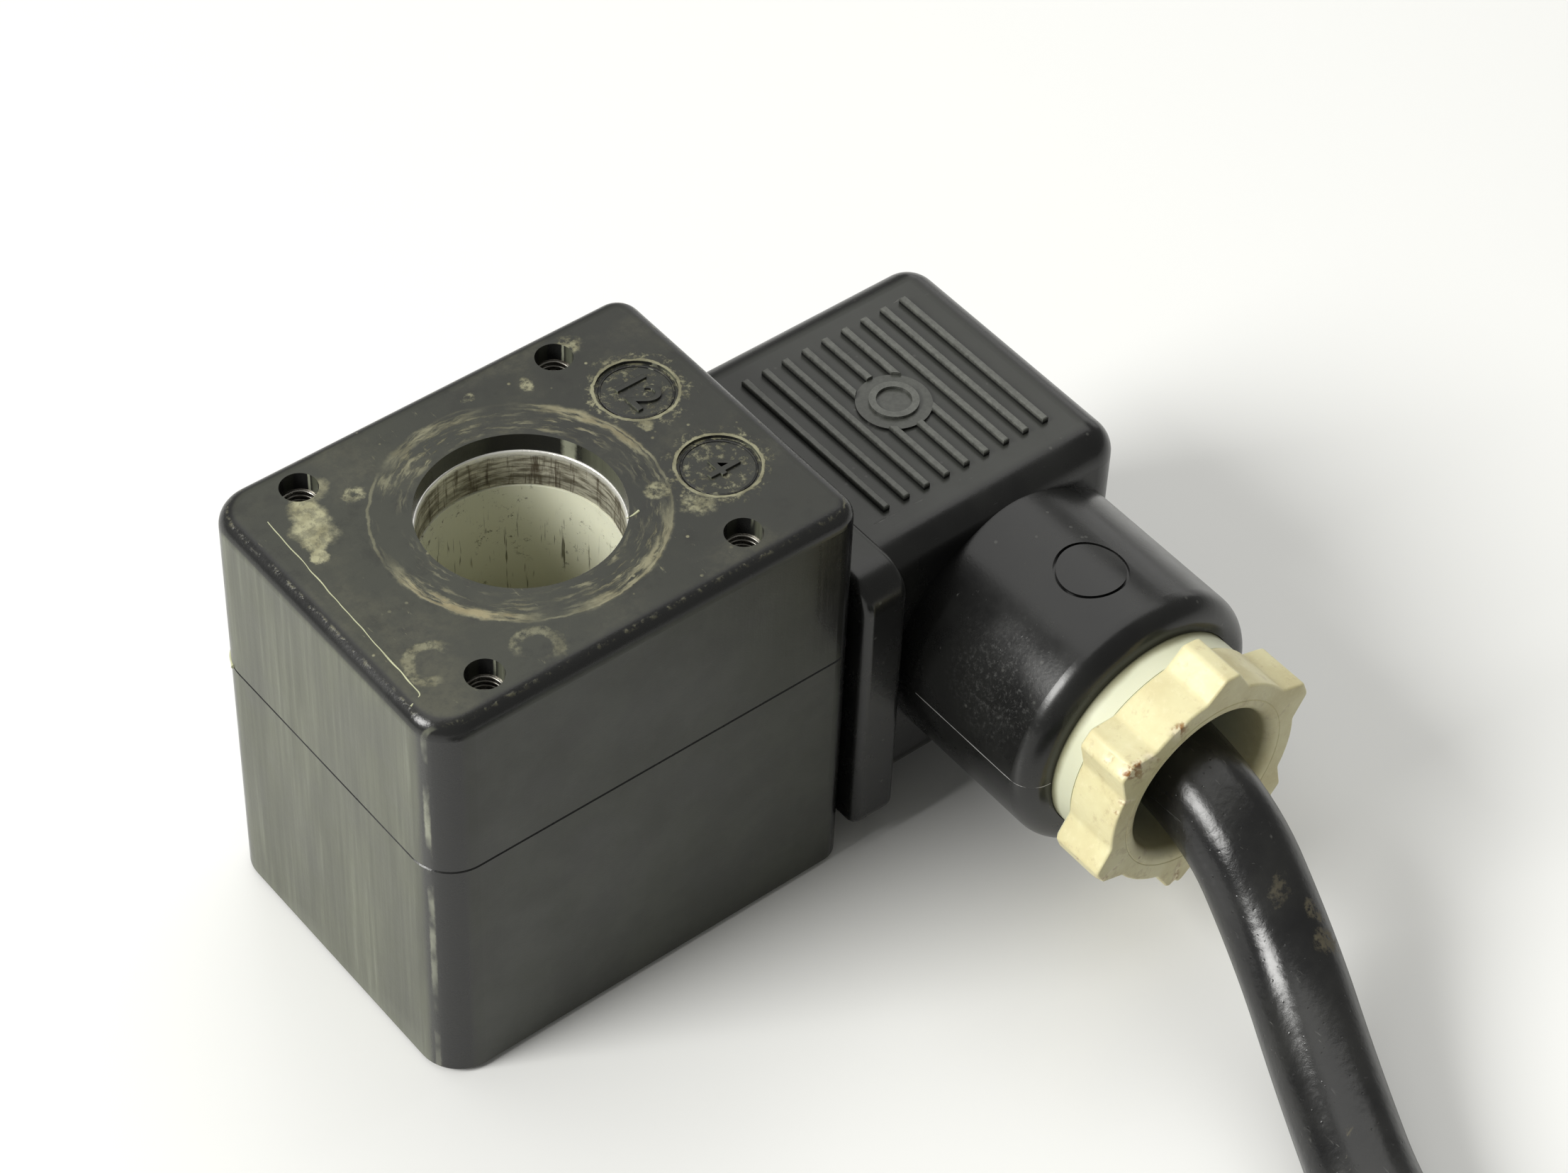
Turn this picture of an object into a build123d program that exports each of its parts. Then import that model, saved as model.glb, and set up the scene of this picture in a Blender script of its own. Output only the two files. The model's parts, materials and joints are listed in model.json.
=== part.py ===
from build123d import *
from math import cos, degrees, pi, radians, sin, tan
import os

# Solenoid coil with its right-angle terminal plug, gland and cable. Millimetres.
# Origin: centre of the coil's bore on its bottom face. +Z runs up the bore, +X
# points from the coil to the plug, and the cable leaves the plug towards -Y.

os.makedirs("parts", exist_ok=True)

# coil case
CASE_X = (-18.95, 21.4)
CASE_Y = 15.4
CASE_TOP = 41.1
SEAM_Z = 24.8
SEAM_CHAMFER = 0.12
CORNER_R = {"left": 3.6, "right": 2.2}
TOP_EDGE_R = 1.6
BOTTOM_EDGE = 0.5
LID_T = 1.7
FLOOR_T = 2.1
CASE_BORE_R = 8.25
DIAL_R = 3.3
DIAL_DEPTH = 0.3
DIAL_X = 15.05
DIAL_Y = 5.25

# mounting screws on the top face
HOLE_PITCH = 24.15
HOLE_R = 1.55

# magnetic circuit and bobbin
YOKE_X = 16.9
YOKE_Y = 13.8
YOKE_GAP = 0.1
PLATE_T = 3.7
LEG_T = 2.5
LEG_Y = 7.5
BORE_R = 8.0
TUBE_R = 9.0
BUSH_R = 8.1
BUSH_SLIT = 1.1
BUSH_SLIT_ANGLE = 197
FLANGE_R = 13.5
FLANGE_T = 1.4
WIRE_R = 12.9
TAPE_R = 13.2

# terminal face, in the plug's own centre
PLUG_Z = 16.85
PIN_PITCH_R = 9.0
BLADE_W = 6.3
BLADE_T = 0.8
BLADE_X = (14.4, 31.2)
BLADE_TIP = 1.0
BLADE_FIT = 0.05
LEAD_R = 0.4
LEAD_STEP = 0.6
LEAD_TOP = 31.0
LEAD_IN_X = 10.3
LEAD_BEND_R = 1.5
SCREW_R = 1.5
SCREW_FIT = 0.05
INSERT_R = 2.4
GASKET_T = 1.2
GASKET_HALF = 12.3
GASKET_CORNER_R = 2.4
GASKET_SCREW_GAP = 0.3
GASKET_BLADE_GAP = 0.4

# plug
PLUG_HALF = 13.75
PLUG_X = (CASE_X[1] + GASKET_T, 51.2)
PLUG_EDGE_R = 3.0
PLUG_WALL = 2.35
ROOM_CORNER_R = 1.5
RIM_X = (CASE_X[1] + 0.3, 26.0)
RIM_Y = -16.1
RIM_TOP = 31.5
RIM_EDGE_R = 0.8
RIM_FOOT_R = 1.2
RIM_GASKET_GAP = 0.3
RIBS = 9
RIB_X = 29.24
RIB_PITCH = 2.105
RIB_HALF = 9.15
RIB_W = 0.62
RIB_H = 0.55
RIB_EDGE_R = 0.15
RIB_ROOT = 0.2
BADGE = (37.6, 0.0)
BADGE_R = 3.2
BADGE_H = 0.25
BADGE_RING = (1.5, 2.1)
BADGE_RING_H = 0.55
HUB_X = 39.2
HUB_R = 12.2
HUB_END = -30.5
HUB_LIP_R = 2.2
HUB_MARK = (-22.8, 3.1, 0.25)
HUB_MARK_DEPTH = 0.55
THREAD_R = 9.3
MOUTH_R = 9.7
MOUTH_DEPTH = 2.0
SEAL_SEAT_Y = -17.5
CABLE_PASS_R = 5.0
INSERT_HALF = 11.2
INSERT_TOP = 34.5
INSERT_CORNER_R = 1.6
INSERT_MOUTH_GAP = 0.3
INSERT_MOUTH_HALF = 0.6
BOSS_R = 5.2
SCREW_HEAD_R = 2.75
SCREW_HEAD_T = 2.0
SCREW_HEAD_EDGE = 0.3
SCREW_SLOT = (0.8, 0.9)
SCREW_CLEARANCE = 0.2
SCREW_TIP_GAP = 0.4
SCREW_WELL = (3.4, 3.0)
SEAL_RING_T = 0.8
SEAL_RING_R = 2.9

# contacts
CONTACT_X = (24.6, 33.6)
CONTACT_W = 7.4
CONTACT_T = 3.4
CLAMP_TOP = 34.9
CLAMP_ALONG = (3.7, 10.7)
CLAMP_RADIAL = (5.6, 10.6)
CLAMP_BLOCK_L = 4.0
CLAMP_SCREW = (8.5, 2.0)
CLAMP_SCREW_R = 1.4
CLAMP_SCREW_IN = 3.0
CLAMP_HEAD_T = 1.5
CLAMP_SLOT = (0.6, 0.7)
CLAMP_WIRE = (5.2, 1.3)
SLOT_T = 0.9
SLOT_END_GAP = 1.5
CONTACT_TURNS = {"contact_line": 180, "contact_return": 0, "contact_earth": -90}

# gland
NUT_BACK = -32.7
NUT_FRONT = -37.8
NUT_INNER = -24.5
NUT_BORE_R = 7.04
NUT_COLLAR_R = 9.62
NUT_SHANK_R = 9.25
NUT_ROOT_R = 9.8
NUT_LOBE_R = 11.5
NUT_LOBES = 6
LOBE_ANGLE = 21.5
LOBE_TOP_HALF = 3.8
LOBE_ROOT_HALF = 13.8
NUT_EDGE = 0.4
NUT_LIP_R = 0.9
WASHER_T = 1.0
WASHER_R = (5.3, 9.1)
SEAL_R = 9.2

# cable
CABLE_D = 8.5
CABLE_START_Y = -11.0
CORE_D = 2.5
CORE_BEND_R = 1.4
CORE_LEAD = 1.5
ROUTE = [
    (HUB_X, -30.0, PLUG_Z),
    (HUB_X, -39.8, PLUG_Z),
    (37.4, -50.4, 9.7),
    (33.0, -60.6, 6.35),
    (27.8, -72.2, 4.65),
    (26.3, -84.5, 4.25),
    (27.0, -98.0, 4.5),
    (29.2, -110.8, 4.85),
]
COIL_CENTRE = (-20.0, -118.0)
TURN_R = (50.0, 41.3, 45.65)
TIE_T = 0.6
TIE_W = 6.0
TIE_ANGLE = 150
TOP_TURN_RISE = 7.5
SHOULDER_IN = 1.2
LOW_TURN_Z = TIE_T + CABLE_D / 2
HIGH_TURN_Z = LOW_TURN_Z + TOP_TURN_RISE
TAIL_GAP_ANGLE = 72
TAIL_LENGTH_ANGLE = 46
FERRULE_ANGLE = 12
FERRULE_COLLAR_ANGLE = 4
FERRULE_R = 0.75
TAIL_GAP = 0.1


def block(x, y, z):
    """Box between two values on each axis."""
    size = [abs(b - a) for a, b in (x, y, z)]
    return Pos(min(x), min(y), min(z)) * Box(*size, align=[Align.MIN] * 3)


def rod_z(x, y, r, z0, z1):
    return Pos(x, y, z0) * Cylinder(r, z1 - z0, align=(Align.CENTER, Align.CENTER, Align.MIN))


def rod_x(y, z, r, x0, x1):
    base = Cylinder(r, x1 - x0, align=(Align.CENTER, Align.CENTER, Align.MIN))
    return Pos(x0, y, z) * Rot(0, 90, 0) * base


def rod_y(r, y0, y1, x=HUB_X, z=PLUG_Z):
    """Cylinder that runs from y0 out to the lower y1 on the gland's axis."""
    base = Cylinder(r, y0 - y1, align=(Align.CENTER, Align.CENTER, Align.MIN))
    return Pos(x, y0, z) * Rot(90, 0, 0) * base


def at_contact(shape, turn):
    """Turns a shape made for the +Y contact about the plug's own axis."""
    return Pos(0, 0, PLUG_Z) * Rot(turn, 0, 0) * Pos(0, 0, -PLUG_Z) * shape


def hole_places():
    half = HOLE_PITCH / 2
    return [(x, y) for x in (-half, half) for y in (-half, half)]


def case_blank(z0, z1):
    blank = block(CASE_X, (-CASE_Y, CASE_Y), (z0, z1))
    upright = blank.edges().filter_by(Axis.Z).sort_by(Axis.X)
    blank = fillet(upright[:2], CORNER_R["left"])
    upright = blank.edges().filter_by(Axis.Z).sort_by(Axis.X)
    return fillet(upright[-2:], CORNER_R["right"])


def case_cavity():
    x = YOKE_X + YOKE_GAP
    y = YOKE_Y + YOKE_GAP
    return block((-x, x), (-y, y), (FLOOR_T, CASE_TOP - LID_T))


def make_case_upper():
    case = case_blank(SEAM_Z, CASE_TOP)
    case = fillet(case.faces().sort_by(Axis.Z)[-1].edges(), TOP_EDGE_R)
    case = chamfer(case.faces().sort_by(Axis.Z)[0].edges(), SEAM_CHAMFER)
    case -= case_cavity()
    case -= rod_z(0, 0, CASE_BORE_R, CASE_TOP - LID_T, CASE_TOP)
    for x, y in hole_places():
        case -= rod_z(x, y, HOLE_R, CASE_TOP - LID_T, CASE_TOP)
    for y in (-DIAL_Y, DIAL_Y):
        case -= rod_z(DIAL_X, y, DIAL_R, CASE_TOP - DIAL_DEPTH, CASE_TOP)
    return case


def make_case_lower():
    case = case_blank(0, SEAM_Z)
    case = chamfer(case.faces().sort_by(Axis.Z)[0].edges(), BOTTOM_EDGE)
    case = chamfer(case.faces().sort_by(Axis.Z)[-1].edges(), SEAM_CHAMFER)
    case -= case_cavity()
    case -= rod_z(0, 0, TUBE_R, 0, FLOOR_T)
    case -= rod_x(0, PLUG_Z, INSERT_R, YOKE_X, CASE_X[1])
    for blade in make_blades().values():
        case -= blade
    return case


def make_bobbin():
    top = CASE_TOP - LID_T - PLATE_T
    low = FLOOR_T + PLATE_T
    bobbin = rod_z(0, 0, TUBE_R, 0, top)
    bobbin += rod_z(0, 0, FLANGE_R, low, low + FLANGE_T)
    bobbin += rod_z(0, 0, FLANGE_R, top - FLANGE_T, top)
    return bobbin - rod_z(0, 0, BORE_R, 0, top)


def make_winding(inner, outer):
    low = FLOOR_T + PLATE_T + FLANGE_T
    high = CASE_TOP - LID_T - PLATE_T - FLANGE_T
    return rod_z(0, 0, outer, low, high) - rod_z(0, 0, inner, low, high)


def make_yoke_bracket():
    low = FLOOR_T + PLATE_T
    high = CASE_TOP - LID_T - PLATE_T
    yoke = block((-YOKE_X, YOKE_X), (-YOKE_Y, YOKE_Y), (FLOOR_T, low))
    for side in (-1, 1):
        x = (side * YOKE_X, side * (YOKE_X - LEG_T))
        yoke += block(x, (-LEG_Y, LEG_Y), (low, high))
    return yoke - rod_z(0, 0, TUBE_R, FLOOR_T, low)


def make_pole_plate():
    high = CASE_TOP - LID_T
    plate = block((-YOKE_X, YOKE_X), (-YOKE_Y, YOKE_Y), (high - PLATE_T, high))
    plate -= rod_z(0, 0, TUBE_R, high - PLATE_T, high)
    for x, y in hole_places():
        plate -= rod_z(x, y, HOLE_R, high - PLATE_T, high)
    return plate


def make_pole_bush():
    high = CASE_TOP - LID_T
    bush = rod_z(0, 0, TUBE_R, high - PLATE_T, high) - rod_z(0, 0, BUSH_R, high - PLATE_T, high)
    slit = block((BUSH_R - 1, TUBE_R + 1), (-BUSH_SLIT / 2, BUSH_SLIT / 2), (high - PLATE_T, high))
    return bush - Rot(0, 0, BUSH_SLIT_ANGLE) * slit


def make_blade(inner_x):
    y = (PIN_PITCH_R - BLADE_T / 2, PIN_PITCH_R + BLADE_T / 2)
    z = (PLUG_Z - BLADE_W / 2, PLUG_Z + BLADE_W / 2)
    blade = block((inner_x, BLADE_X[1]), y, z)
    tip = blade.faces().sort_by(Axis.X)[-1].edges().filter_by(Axis.Y)
    return chamfer(tip, BLADE_TIP)


def make_blades():
    return {
        "blade_line": at_contact(make_blade(BLADE_X[0]), 180),
        "blade_return": make_blade(BLADE_X[0]),
        "blade_earth": at_contact(make_blade(YOKE_X), -90),
    }


def make_winding_leads():
    """Two short wires from the winding to the tails of the live blades."""
    z0 = PLUG_Z + BLADE_W / 2
    x = BLADE_X[0] + LEAD_STEP
    leads = []
    for side in (-1, 1):
        y = side * PIN_PITCH_R
        points = [(x, y, z0), (x, y, LEAD_TOP), (LEAD_IN_X, y, LEAD_TOP)]
        path = FilletPolyline(*points, radius=LEAD_BEND_R)
        leads.append(sweep(Plane(origin=path @ 0, z_dir=path % 0) * Circle(LEAD_R), path=path))
    return Compound(children=leads)


def make_screw_insert():
    insert = rod_x(0, PLUG_Z, INSERT_R, YOKE_X, CASE_X[1])
    return insert - rod_x(0, PLUG_Z, SCREW_R + SCREW_FIT, YOKE_X, CASE_X[1])


def make_gasket():
    x = (CASE_X[1], PLUG_X[0])
    z = (PLUG_Z - GASKET_HALF, PLUG_Z + GASKET_HALF)
    gasket = block(x, (-GASKET_HALF, GASKET_HALF), z)
    gasket = fillet(gasket.edges().filter_by(Axis.X), GASKET_CORNER_R)
    gasket -= rod_x(0, PLUG_Z, SCREW_R + GASKET_SCREW_GAP, *x)
    half_t = BLADE_T / 2 + GASKET_BLADE_GAP
    half_w = BLADE_W / 2 + GASKET_BLADE_GAP
    slot = block(x, (PIN_PITCH_R - half_t, PIN_PITCH_R + half_t), (PLUG_Z - half_w, PLUG_Z + half_w))
    for turn in (0, 180, -90):
        gasket -= at_contact(slot, turn)
    return gasket


def side_heights(side, proud):
    """From just under a flat side of the plug to that far proud of it."""
    face_z = PLUG_Z + side * PLUG_HALF
    return sorted((face_z - side * RIB_ROOT, face_z + side * proud))


def make_ribs():
    """Grip ribs on the plug's two flat sides, left out where the badge stands."""
    ribs = []
    for side in (-1, 1):
        z = side_heights(side, RIB_H)
        badge = rod_z(*BADGE, BADGE_R, *z)
        for i in range(RIBS):
            x = RIB_X + i * RIB_PITCH
            rib = block((x - RIB_W / 2, x + RIB_W / 2), (-RIB_HALF, RIB_HALF), z)
            crest = rib.faces().sort_by(Axis.Z)[-1 if side > 0 else 0]
            ribs.append(fillet(crest.edges(), RIB_EDGE_R) - badge)
    return ribs


def make_badges():
    """A plain raised disc with one plain ring on it, on each ribbed side."""
    badges = []
    for side in (-1, 1):
        badges.append(rod_z(*BADGE, BADGE_R, *side_heights(side, BADGE_H)))
        z = side_heights(side, BADGE_RING_H)
        badges.append(rod_z(*BADGE, BADGE_RING[1], *z) - rod_z(*BADGE, BADGE_RING[0], *z))
    return badges


def make_rim():
    """Skirt round the plug's open side, recessed to take the gasket."""
    rim = block(RIM_X, (RIM_Y, PLUG_HALF), (PLUG_Z - PLUG_HALF, RIM_TOP))
    rim = fillet(rim.edges().filter_by(Axis.X).sort_by(Axis.Z)[2:], PLUG_EDGE_R)
    rim = fillet(rim.edges().filter_by(Axis.X).sort_by(Axis.Z)[:2], RIM_FOOT_R)
    rim = fillet(rim.edges().filter_by(Axis.Z), RIM_EDGE_R)
    half = GASKET_HALF + RIM_GASKET_GAP
    recess = block((RIM_X[0], PLUG_X[0]), (-half, half), (PLUG_Z - half, PLUG_Z + half))
    return rim - fillet(recess.edges().filter_by(Axis.X), GASKET_CORNER_R)


def make_plug_outside():
    z = (PLUG_Z - PLUG_HALF, PLUG_Z + PLUG_HALF)
    body = block(PLUG_X, (-PLUG_HALF, PLUG_HALF), z)
    base = body.faces().sort_by(Axis.X)[0].edges()
    body = fillet([e for e in body.edges() if e not in base], PLUG_EDGE_R)
    hub = rod_y(HUB_R, -PLUG_HALF + PLUG_EDGE_R, HUB_END)
    hub = fillet(hub.edges().sort_by(Axis.Y)[0], HUB_LIP_R)
    return body + make_rim() + hub


def make_plug_housing():
    housing = make_plug_outside()
    inner = PLUG_HALF - PLUG_WALL
    room = block((PLUG_X[0], PLUG_X[1] - PLUG_WALL), (-inner, inner), (PLUG_Z - inner, PLUG_Z + inner))
    room = fillet(room.edges().filter_by(Axis.X), ROOM_CORNER_R)
    room -= rod_x(0, PLUG_Z, BOSS_R, INSERT_TOP, PLUG_X[1])
    housing -= room
    housing -= rod_x(0, PLUG_Z, SCREW_R + SCREW_CLEARANCE, INSERT_TOP, PLUG_X[1])
    housing -= rod_x(0, PLUG_Z, SCREW_WELL[0], PLUG_X[1] - SCREW_WELL[1], PLUG_X[1])
    housing -= rod_y(CABLE_PASS_R, -inner + 1, SEAL_SEAT_Y)
    housing -= rod_y(THREAD_R, SEAL_SEAT_Y, HUB_END)
    housing -= rod_y(MOUTH_R, HUB_END + MOUTH_DEPTH, HUB_END)
    for raised in make_ribs() + make_badges():
        housing += raised
    mark_y, mark_r, mark_w = HUB_MARK
    z = (PLUG_Z + HUB_R - HUB_MARK_DEPTH, PLUG_Z + HUB_R + 1)
    housing -= rod_z(HUB_X, mark_y, mark_r, *z) - rod_z(HUB_X, mark_y, mark_r - mark_w, *z)
    return housing


def contact_solid():
    """One clip for a blade, with the clamp block beside it, at the +Y place."""
    radial = (PIN_PITCH_R - CONTACT_T / 2, PIN_PITCH_R + CONTACT_T / 2)
    clip = block(CONTACT_X, radial, (PLUG_Z - CONTACT_W / 2, PLUG_Z + CONTACT_W / 2))
    along = (PLUG_Z + CLAMP_ALONG[0], PLUG_Z + CLAMP_ALONG[1])
    return clip + block((CONTACT_X[1] - CLAMP_BLOCK_L, CLAMP_TOP), CLAMP_RADIAL, along)


def make_contact(turn):
    contact = contact_solid()
    slot_y = (PIN_PITCH_R - SLOT_T / 2, PIN_PITCH_R + SLOT_T / 2)
    slot_z = (PLUG_Z - BLADE_W / 2 - BLADE_FIT, PLUG_Z + BLADE_W / 2 + BLADE_FIT)
    contact -= block((CONTACT_X[0], CONTACT_X[1] - SLOT_END_GAP), slot_y, slot_z)
    middle = sum(CLAMP_RADIAL) / 2
    for along, r in ((CLAMP_SCREW[0], CLAMP_SCREW_R), CLAMP_WIRE):
        contact -= rod_x(middle, PLUG_Z + along, r, CLAMP_TOP - CLAMP_SCREW_IN, CLAMP_TOP)
    return at_contact(contact, turn)


def make_clamp_screws():
    middle = sum(CLAMP_RADIAL) / 2
    along, head_r = CLAMP_SCREW
    head_x = CLAMP_TOP + CLAMP_HEAD_T
    slot_w, slot_depth = CLAMP_SLOT
    screw = rod_x(middle, PLUG_Z + along, CLAMP_SCREW_R, CLAMP_TOP - CLAMP_SCREW_IN, CLAMP_TOP)
    screw += rod_x(middle, PLUG_Z + along, head_r, CLAMP_TOP, head_x)
    slot_z = (PLUG_Z + along - slot_w / 2, PLUG_Z + along + slot_w / 2)
    screw -= block((head_x - slot_depth, head_x), (middle - head_r, middle + head_r), slot_z)
    return Compound(children=[at_contact(screw, turn) for turn in CONTACT_TURNS.values()])


def make_contact_insert():
    z = (PLUG_Z - INSERT_HALF, PLUG_Z + INSERT_HALF)
    insert = block((PLUG_X[0], INSERT_TOP), (-INSERT_HALF, INSERT_HALF), z)
    insert = fillet(insert.edges().filter_by(Axis.X), INSERT_CORNER_R)
    insert -= rod_x(0, PLUG_Z, SCREW_R + SCREW_CLEARANCE, PLUG_X[0], INSERT_TOP)
    half_w = BLADE_W / 2 + INSERT_MOUTH_GAP
    mouth = block((PLUG_X[0], CONTACT_X[0]),
                  (PIN_PITCH_R - INSERT_MOUTH_HALF, PIN_PITCH_R + INSERT_MOUTH_HALF),
                  (PLUG_Z - half_w, PLUG_Z + half_w))
    pocket = contact_solid() + block((CONTACT_X[1], INSERT_TOP),
                                     (PIN_PITCH_R - CONTACT_T / 2, PIN_PITCH_R + CONTACT_T / 2),
                                     (PLUG_Z - CONTACT_W / 2, PLUG_Z + CONTACT_W / 2))
    for turn in CONTACT_TURNS.values():
        insert -= at_contact(mouth, turn)
        insert -= at_contact(pocket, turn)
    return insert


def make_central_screw():
    head_x = PLUG_X[1] - SCREW_WELL[1] + SEAL_RING_T
    end_x = head_x + SCREW_HEAD_T
    slot_w, slot_depth = SCREW_SLOT
    screw = rod_x(0, PLUG_Z, SCREW_R, YOKE_X + SCREW_TIP_GAP, head_x)
    head = rod_x(0, PLUG_Z, SCREW_HEAD_R, head_x, end_x)
    head = chamfer(head.edges().sort_by(Axis.X)[-1], SCREW_HEAD_EDGE)
    head -= block((end_x - slot_depth, end_x), (-SCREW_HEAD_R, SCREW_HEAD_R),
                  (PLUG_Z - slot_w / 2, PLUG_Z + slot_w / 2))
    return screw + head


def make_screw_seal():
    x = (PLUG_X[1] - SCREW_WELL[1], PLUG_X[1] - SCREW_WELL[1] + SEAL_RING_T)
    return rod_x(0, PLUG_Z, SEAL_RING_R, *x) - rod_x(0, PLUG_Z, SCREW_R + SCREW_FIT, *x)


def lobe_outline():
    """Nut outline across its axis: flat-topped lobes with sloping flanks."""
    points = []
    for i in range(NUT_LOBES):
        middle = LOBE_ANGLE + i * 360 / NUT_LOBES
        for offset, r in ((-LOBE_ROOT_HALF, NUT_ROOT_R), (-LOBE_TOP_HALF, NUT_LOBE_R),
                          (LOBE_TOP_HALF, NUT_LOBE_R), (LOBE_ROOT_HALF, NUT_ROOT_R)):
            a = radians(middle + offset)
            points.append((r * cos(a), r * sin(a)))
    return make_face(Polyline(*points, close=True))


def make_gland_nut():
    across = Plane(origin=(HUB_X, NUT_BACK, PLUG_Z), x_dir=(1, 0, 0), z_dir=(0, -1, 0))
    nut = extrude(across * lobe_outline(), amount=NUT_BACK - NUT_FRONT)
    nut = chamfer(nut.faces().sort_by(Axis.Y)[0].edges(), NUT_EDGE)
    nut += rod_y(NUT_COLLAR_R, HUB_END + MOUTH_DEPTH - 0.2, NUT_BACK)
    nut += rod_y(NUT_SHANK_R, NUT_INNER, NUT_BACK)
    nut -= rod_y(NUT_BORE_R, NUT_INNER, NUT_FRONT)
    mouth = nut.edges().filter_by(GeomType.CIRCLE).sort_by(Axis.Y)[0]
    return fillet(mouth, NUT_LIP_R)


def make_thrust_washer():
    y = (NUT_INNER + WASHER_T, NUT_INNER)
    return rod_y(WASHER_R[1], *y) - rod_y(WASHER_R[0], *y)


def make_gland_seal():
    y = (SEAL_SEAT_Y, NUT_INNER + WASHER_T)
    return rod_y(SEAL_R, *y) - rod_y(CABLE_D / 2, *y)


def make_cable_entry():
    return rod_y(CABLE_D / 2, CABLE_START_Y, ROUTE[0][1])


def corner_radii(points):
    """Largest arc for each corner: 0.45 of the shorter run over tan(half the turn)."""
    p = [Vector(*q) for q in points]
    radii = []
    for a, b, c in zip(p, p[1:], p[2:]):
        turn = (b - a).get_angle(c - b)
        radii.append(0.45 * min((b - a).length, (c - b).length) / tan(radians(turn) / 2))
    return radii


def tube(points, radii, diameter):
    path = FilletPolyline(*points, radius=radii)
    section = Plane(origin=path @ 0, z_dir=path % 0) * Circle(diameter / 2)
    return sweep(section, path=path), path.length


def make_cable_run():
    radii = corner_radii(ROUTE)
    run, length = tube(ROUTE, radii, CABLE_D)
    print("cable run radii", [round(r, 1) for r in radii])
    print("cable run length", round(length, 1), "volume over section x length",
          round(run.volume / (pi * CABLE_D ** 2 / 4 * length), 4))
    return run


def make_core(points):
    core, _ = tube(points, [CORE_BEND_R] * (len(points) - 2), CORE_D)
    return core


def make_plug_cores():
    """Three cores from the end of the jacket to the clamp blocks."""
    z, top = PLUG_Z, CLAMP_TOP
    y0, y1 = CABLE_START_Y, CABLE_START_Y + CORE_LEAD
    r, a = sum(CLAMP_RADIAL) / 2, CLAMP_WIRE[0]
    return {
        "core_line": [(HUB_X - 1.0, y0, z - 2.0), (HUB_X - 1.0, -r, z - 2.0),
                      (HUB_X - 1.0, -r, z - a), (top, -r, z - a)],
        "core_return": [(HUB_X + 1.6, y0, z + 1.4), (HUB_X + 1.6, y1, z + 1.4),
                        (42.6, -6.4, z + 4.0), (43.4, 1.5, z + 8.6),
                        (40.6, r, z + a), (top, r, z + a)],
        "core_earth": [(HUB_X + 1.8, y0, z - 1.8), (HUB_X + 1.8, y1, z - 1.8),
                       (43.6, -6.8, z - 4.2), (43.0, -1.0, z - 8.4),
                       (40.0, a, z - r), (top, a, z - r)],
    }


def ring_sector(section_rz, start, sweep_angle):
    """Solid of revolution about the cable coil's centre, from points (radius, z)."""
    face = make_face(Polyline(*[(r, 0, z) for r, z in section_rz], close=True))
    ring = revolve(face, Axis.Z, revolution_arc=sweep_angle)
    return Pos(*COIL_CENTRE, 0) * Rot(0, 0, start) * ring


def coil_section():
    half = CABLE_D / 2
    inner, outer = TURN_R[1] - half, TURN_R[0] + half
    step = LOW_TURN_Z + half
    top = HIGH_TURN_Z + half
    return inner, outer, step, top


def make_cable_coil():
    inner, outer, step, top = coil_section()
    low = [(inner, TIE_T), (outer, TIE_T), (outer, step), (inner, step)]
    lean = (TURN_R[0] - TURN_R[1]) / 2 - SHOULDER_IN
    high = [(inner, step), (outer, step), (outer - lean, top), (inner + lean, top)]
    return ring_sector(low, 0, 360) + ring_sector(high, 0, TAIL_GAP_ANGLE - 360)


def make_coil_tie():
    """Flat strap once round the bundle, with its twisted end standing on the outside."""
    inner, outer, step, top = coil_section()
    lean = (TURN_R[0] - TURN_R[1]) / 2 - SHOULDER_IN
    hold = [(inner, TIE_T), (outer, TIE_T), (outer, step), (outer - lean, top),
            (inner + lean, top), (inner, step)]
    t = TIE_T
    wrap = [(inner - t, 0), (outer + t, 0), (outer + t, step + t), (outer - lean + t, top + t),
            (inner + lean - t, top + t), (inner - t, step + t)]
    arc = degrees(TIE_W / TURN_R[2])
    start = TIE_ANGLE - arc / 2
    return ring_sector(wrap, start, arc) - ring_sector(hold, start - 1, arc + 2)


def tail_path(radius, z, a0, a1):
    """Arc about the cable coil's centre, for the stripped end that lies on the coil."""
    cx, cy = COIL_CENTRE
    angles = [radians(a) for a in (a0, (a0 + a1) / 2, a1)]
    return ThreePointArc(*[(cx + radius * cos(a), cy + radius * sin(a), z) for a in angles])


def swept(path, radius):
    return sweep(Plane(origin=path @ 0, z_dir=path % 0) * Circle(radius), path=path)


def tail_places():
    """Radius and height of each stripped core, side by side in the coil's top groove."""
    z = LOW_TURN_Z + CABLE_D / 2 + CORE_D / 2
    step = CORE_D + TAIL_GAP
    return {"tail_line": (TURN_R[2] - step, z), "tail_return": (TURN_R[2], z),
            "tail_earth": (TURN_R[2] + step, z)}


def make_tails():
    end = TAIL_GAP_ANGLE
    stop = end - TAIL_LENGTH_ANGLE
    return {name: swept(tail_path(r, z, end, stop), CORE_D / 2)
            for name, (r, z) in tail_places().items()}


def make_ferrules():
    start = TAIL_GAP_ANGLE - TAIL_LENGTH_ANGLE
    tips = []
    for r, z in tail_places().values():
        collar = swept(tail_path(r, z, start, start - FERRULE_COLLAR_ANGLE), CORE_D / 2)
        tip = swept(tail_path(r, z, start - FERRULE_COLLAR_ANGLE, start - FERRULE_ANGLE), FERRULE_R)
        tips.append(collar + tip)
    return Compound(children=tips)


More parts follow.
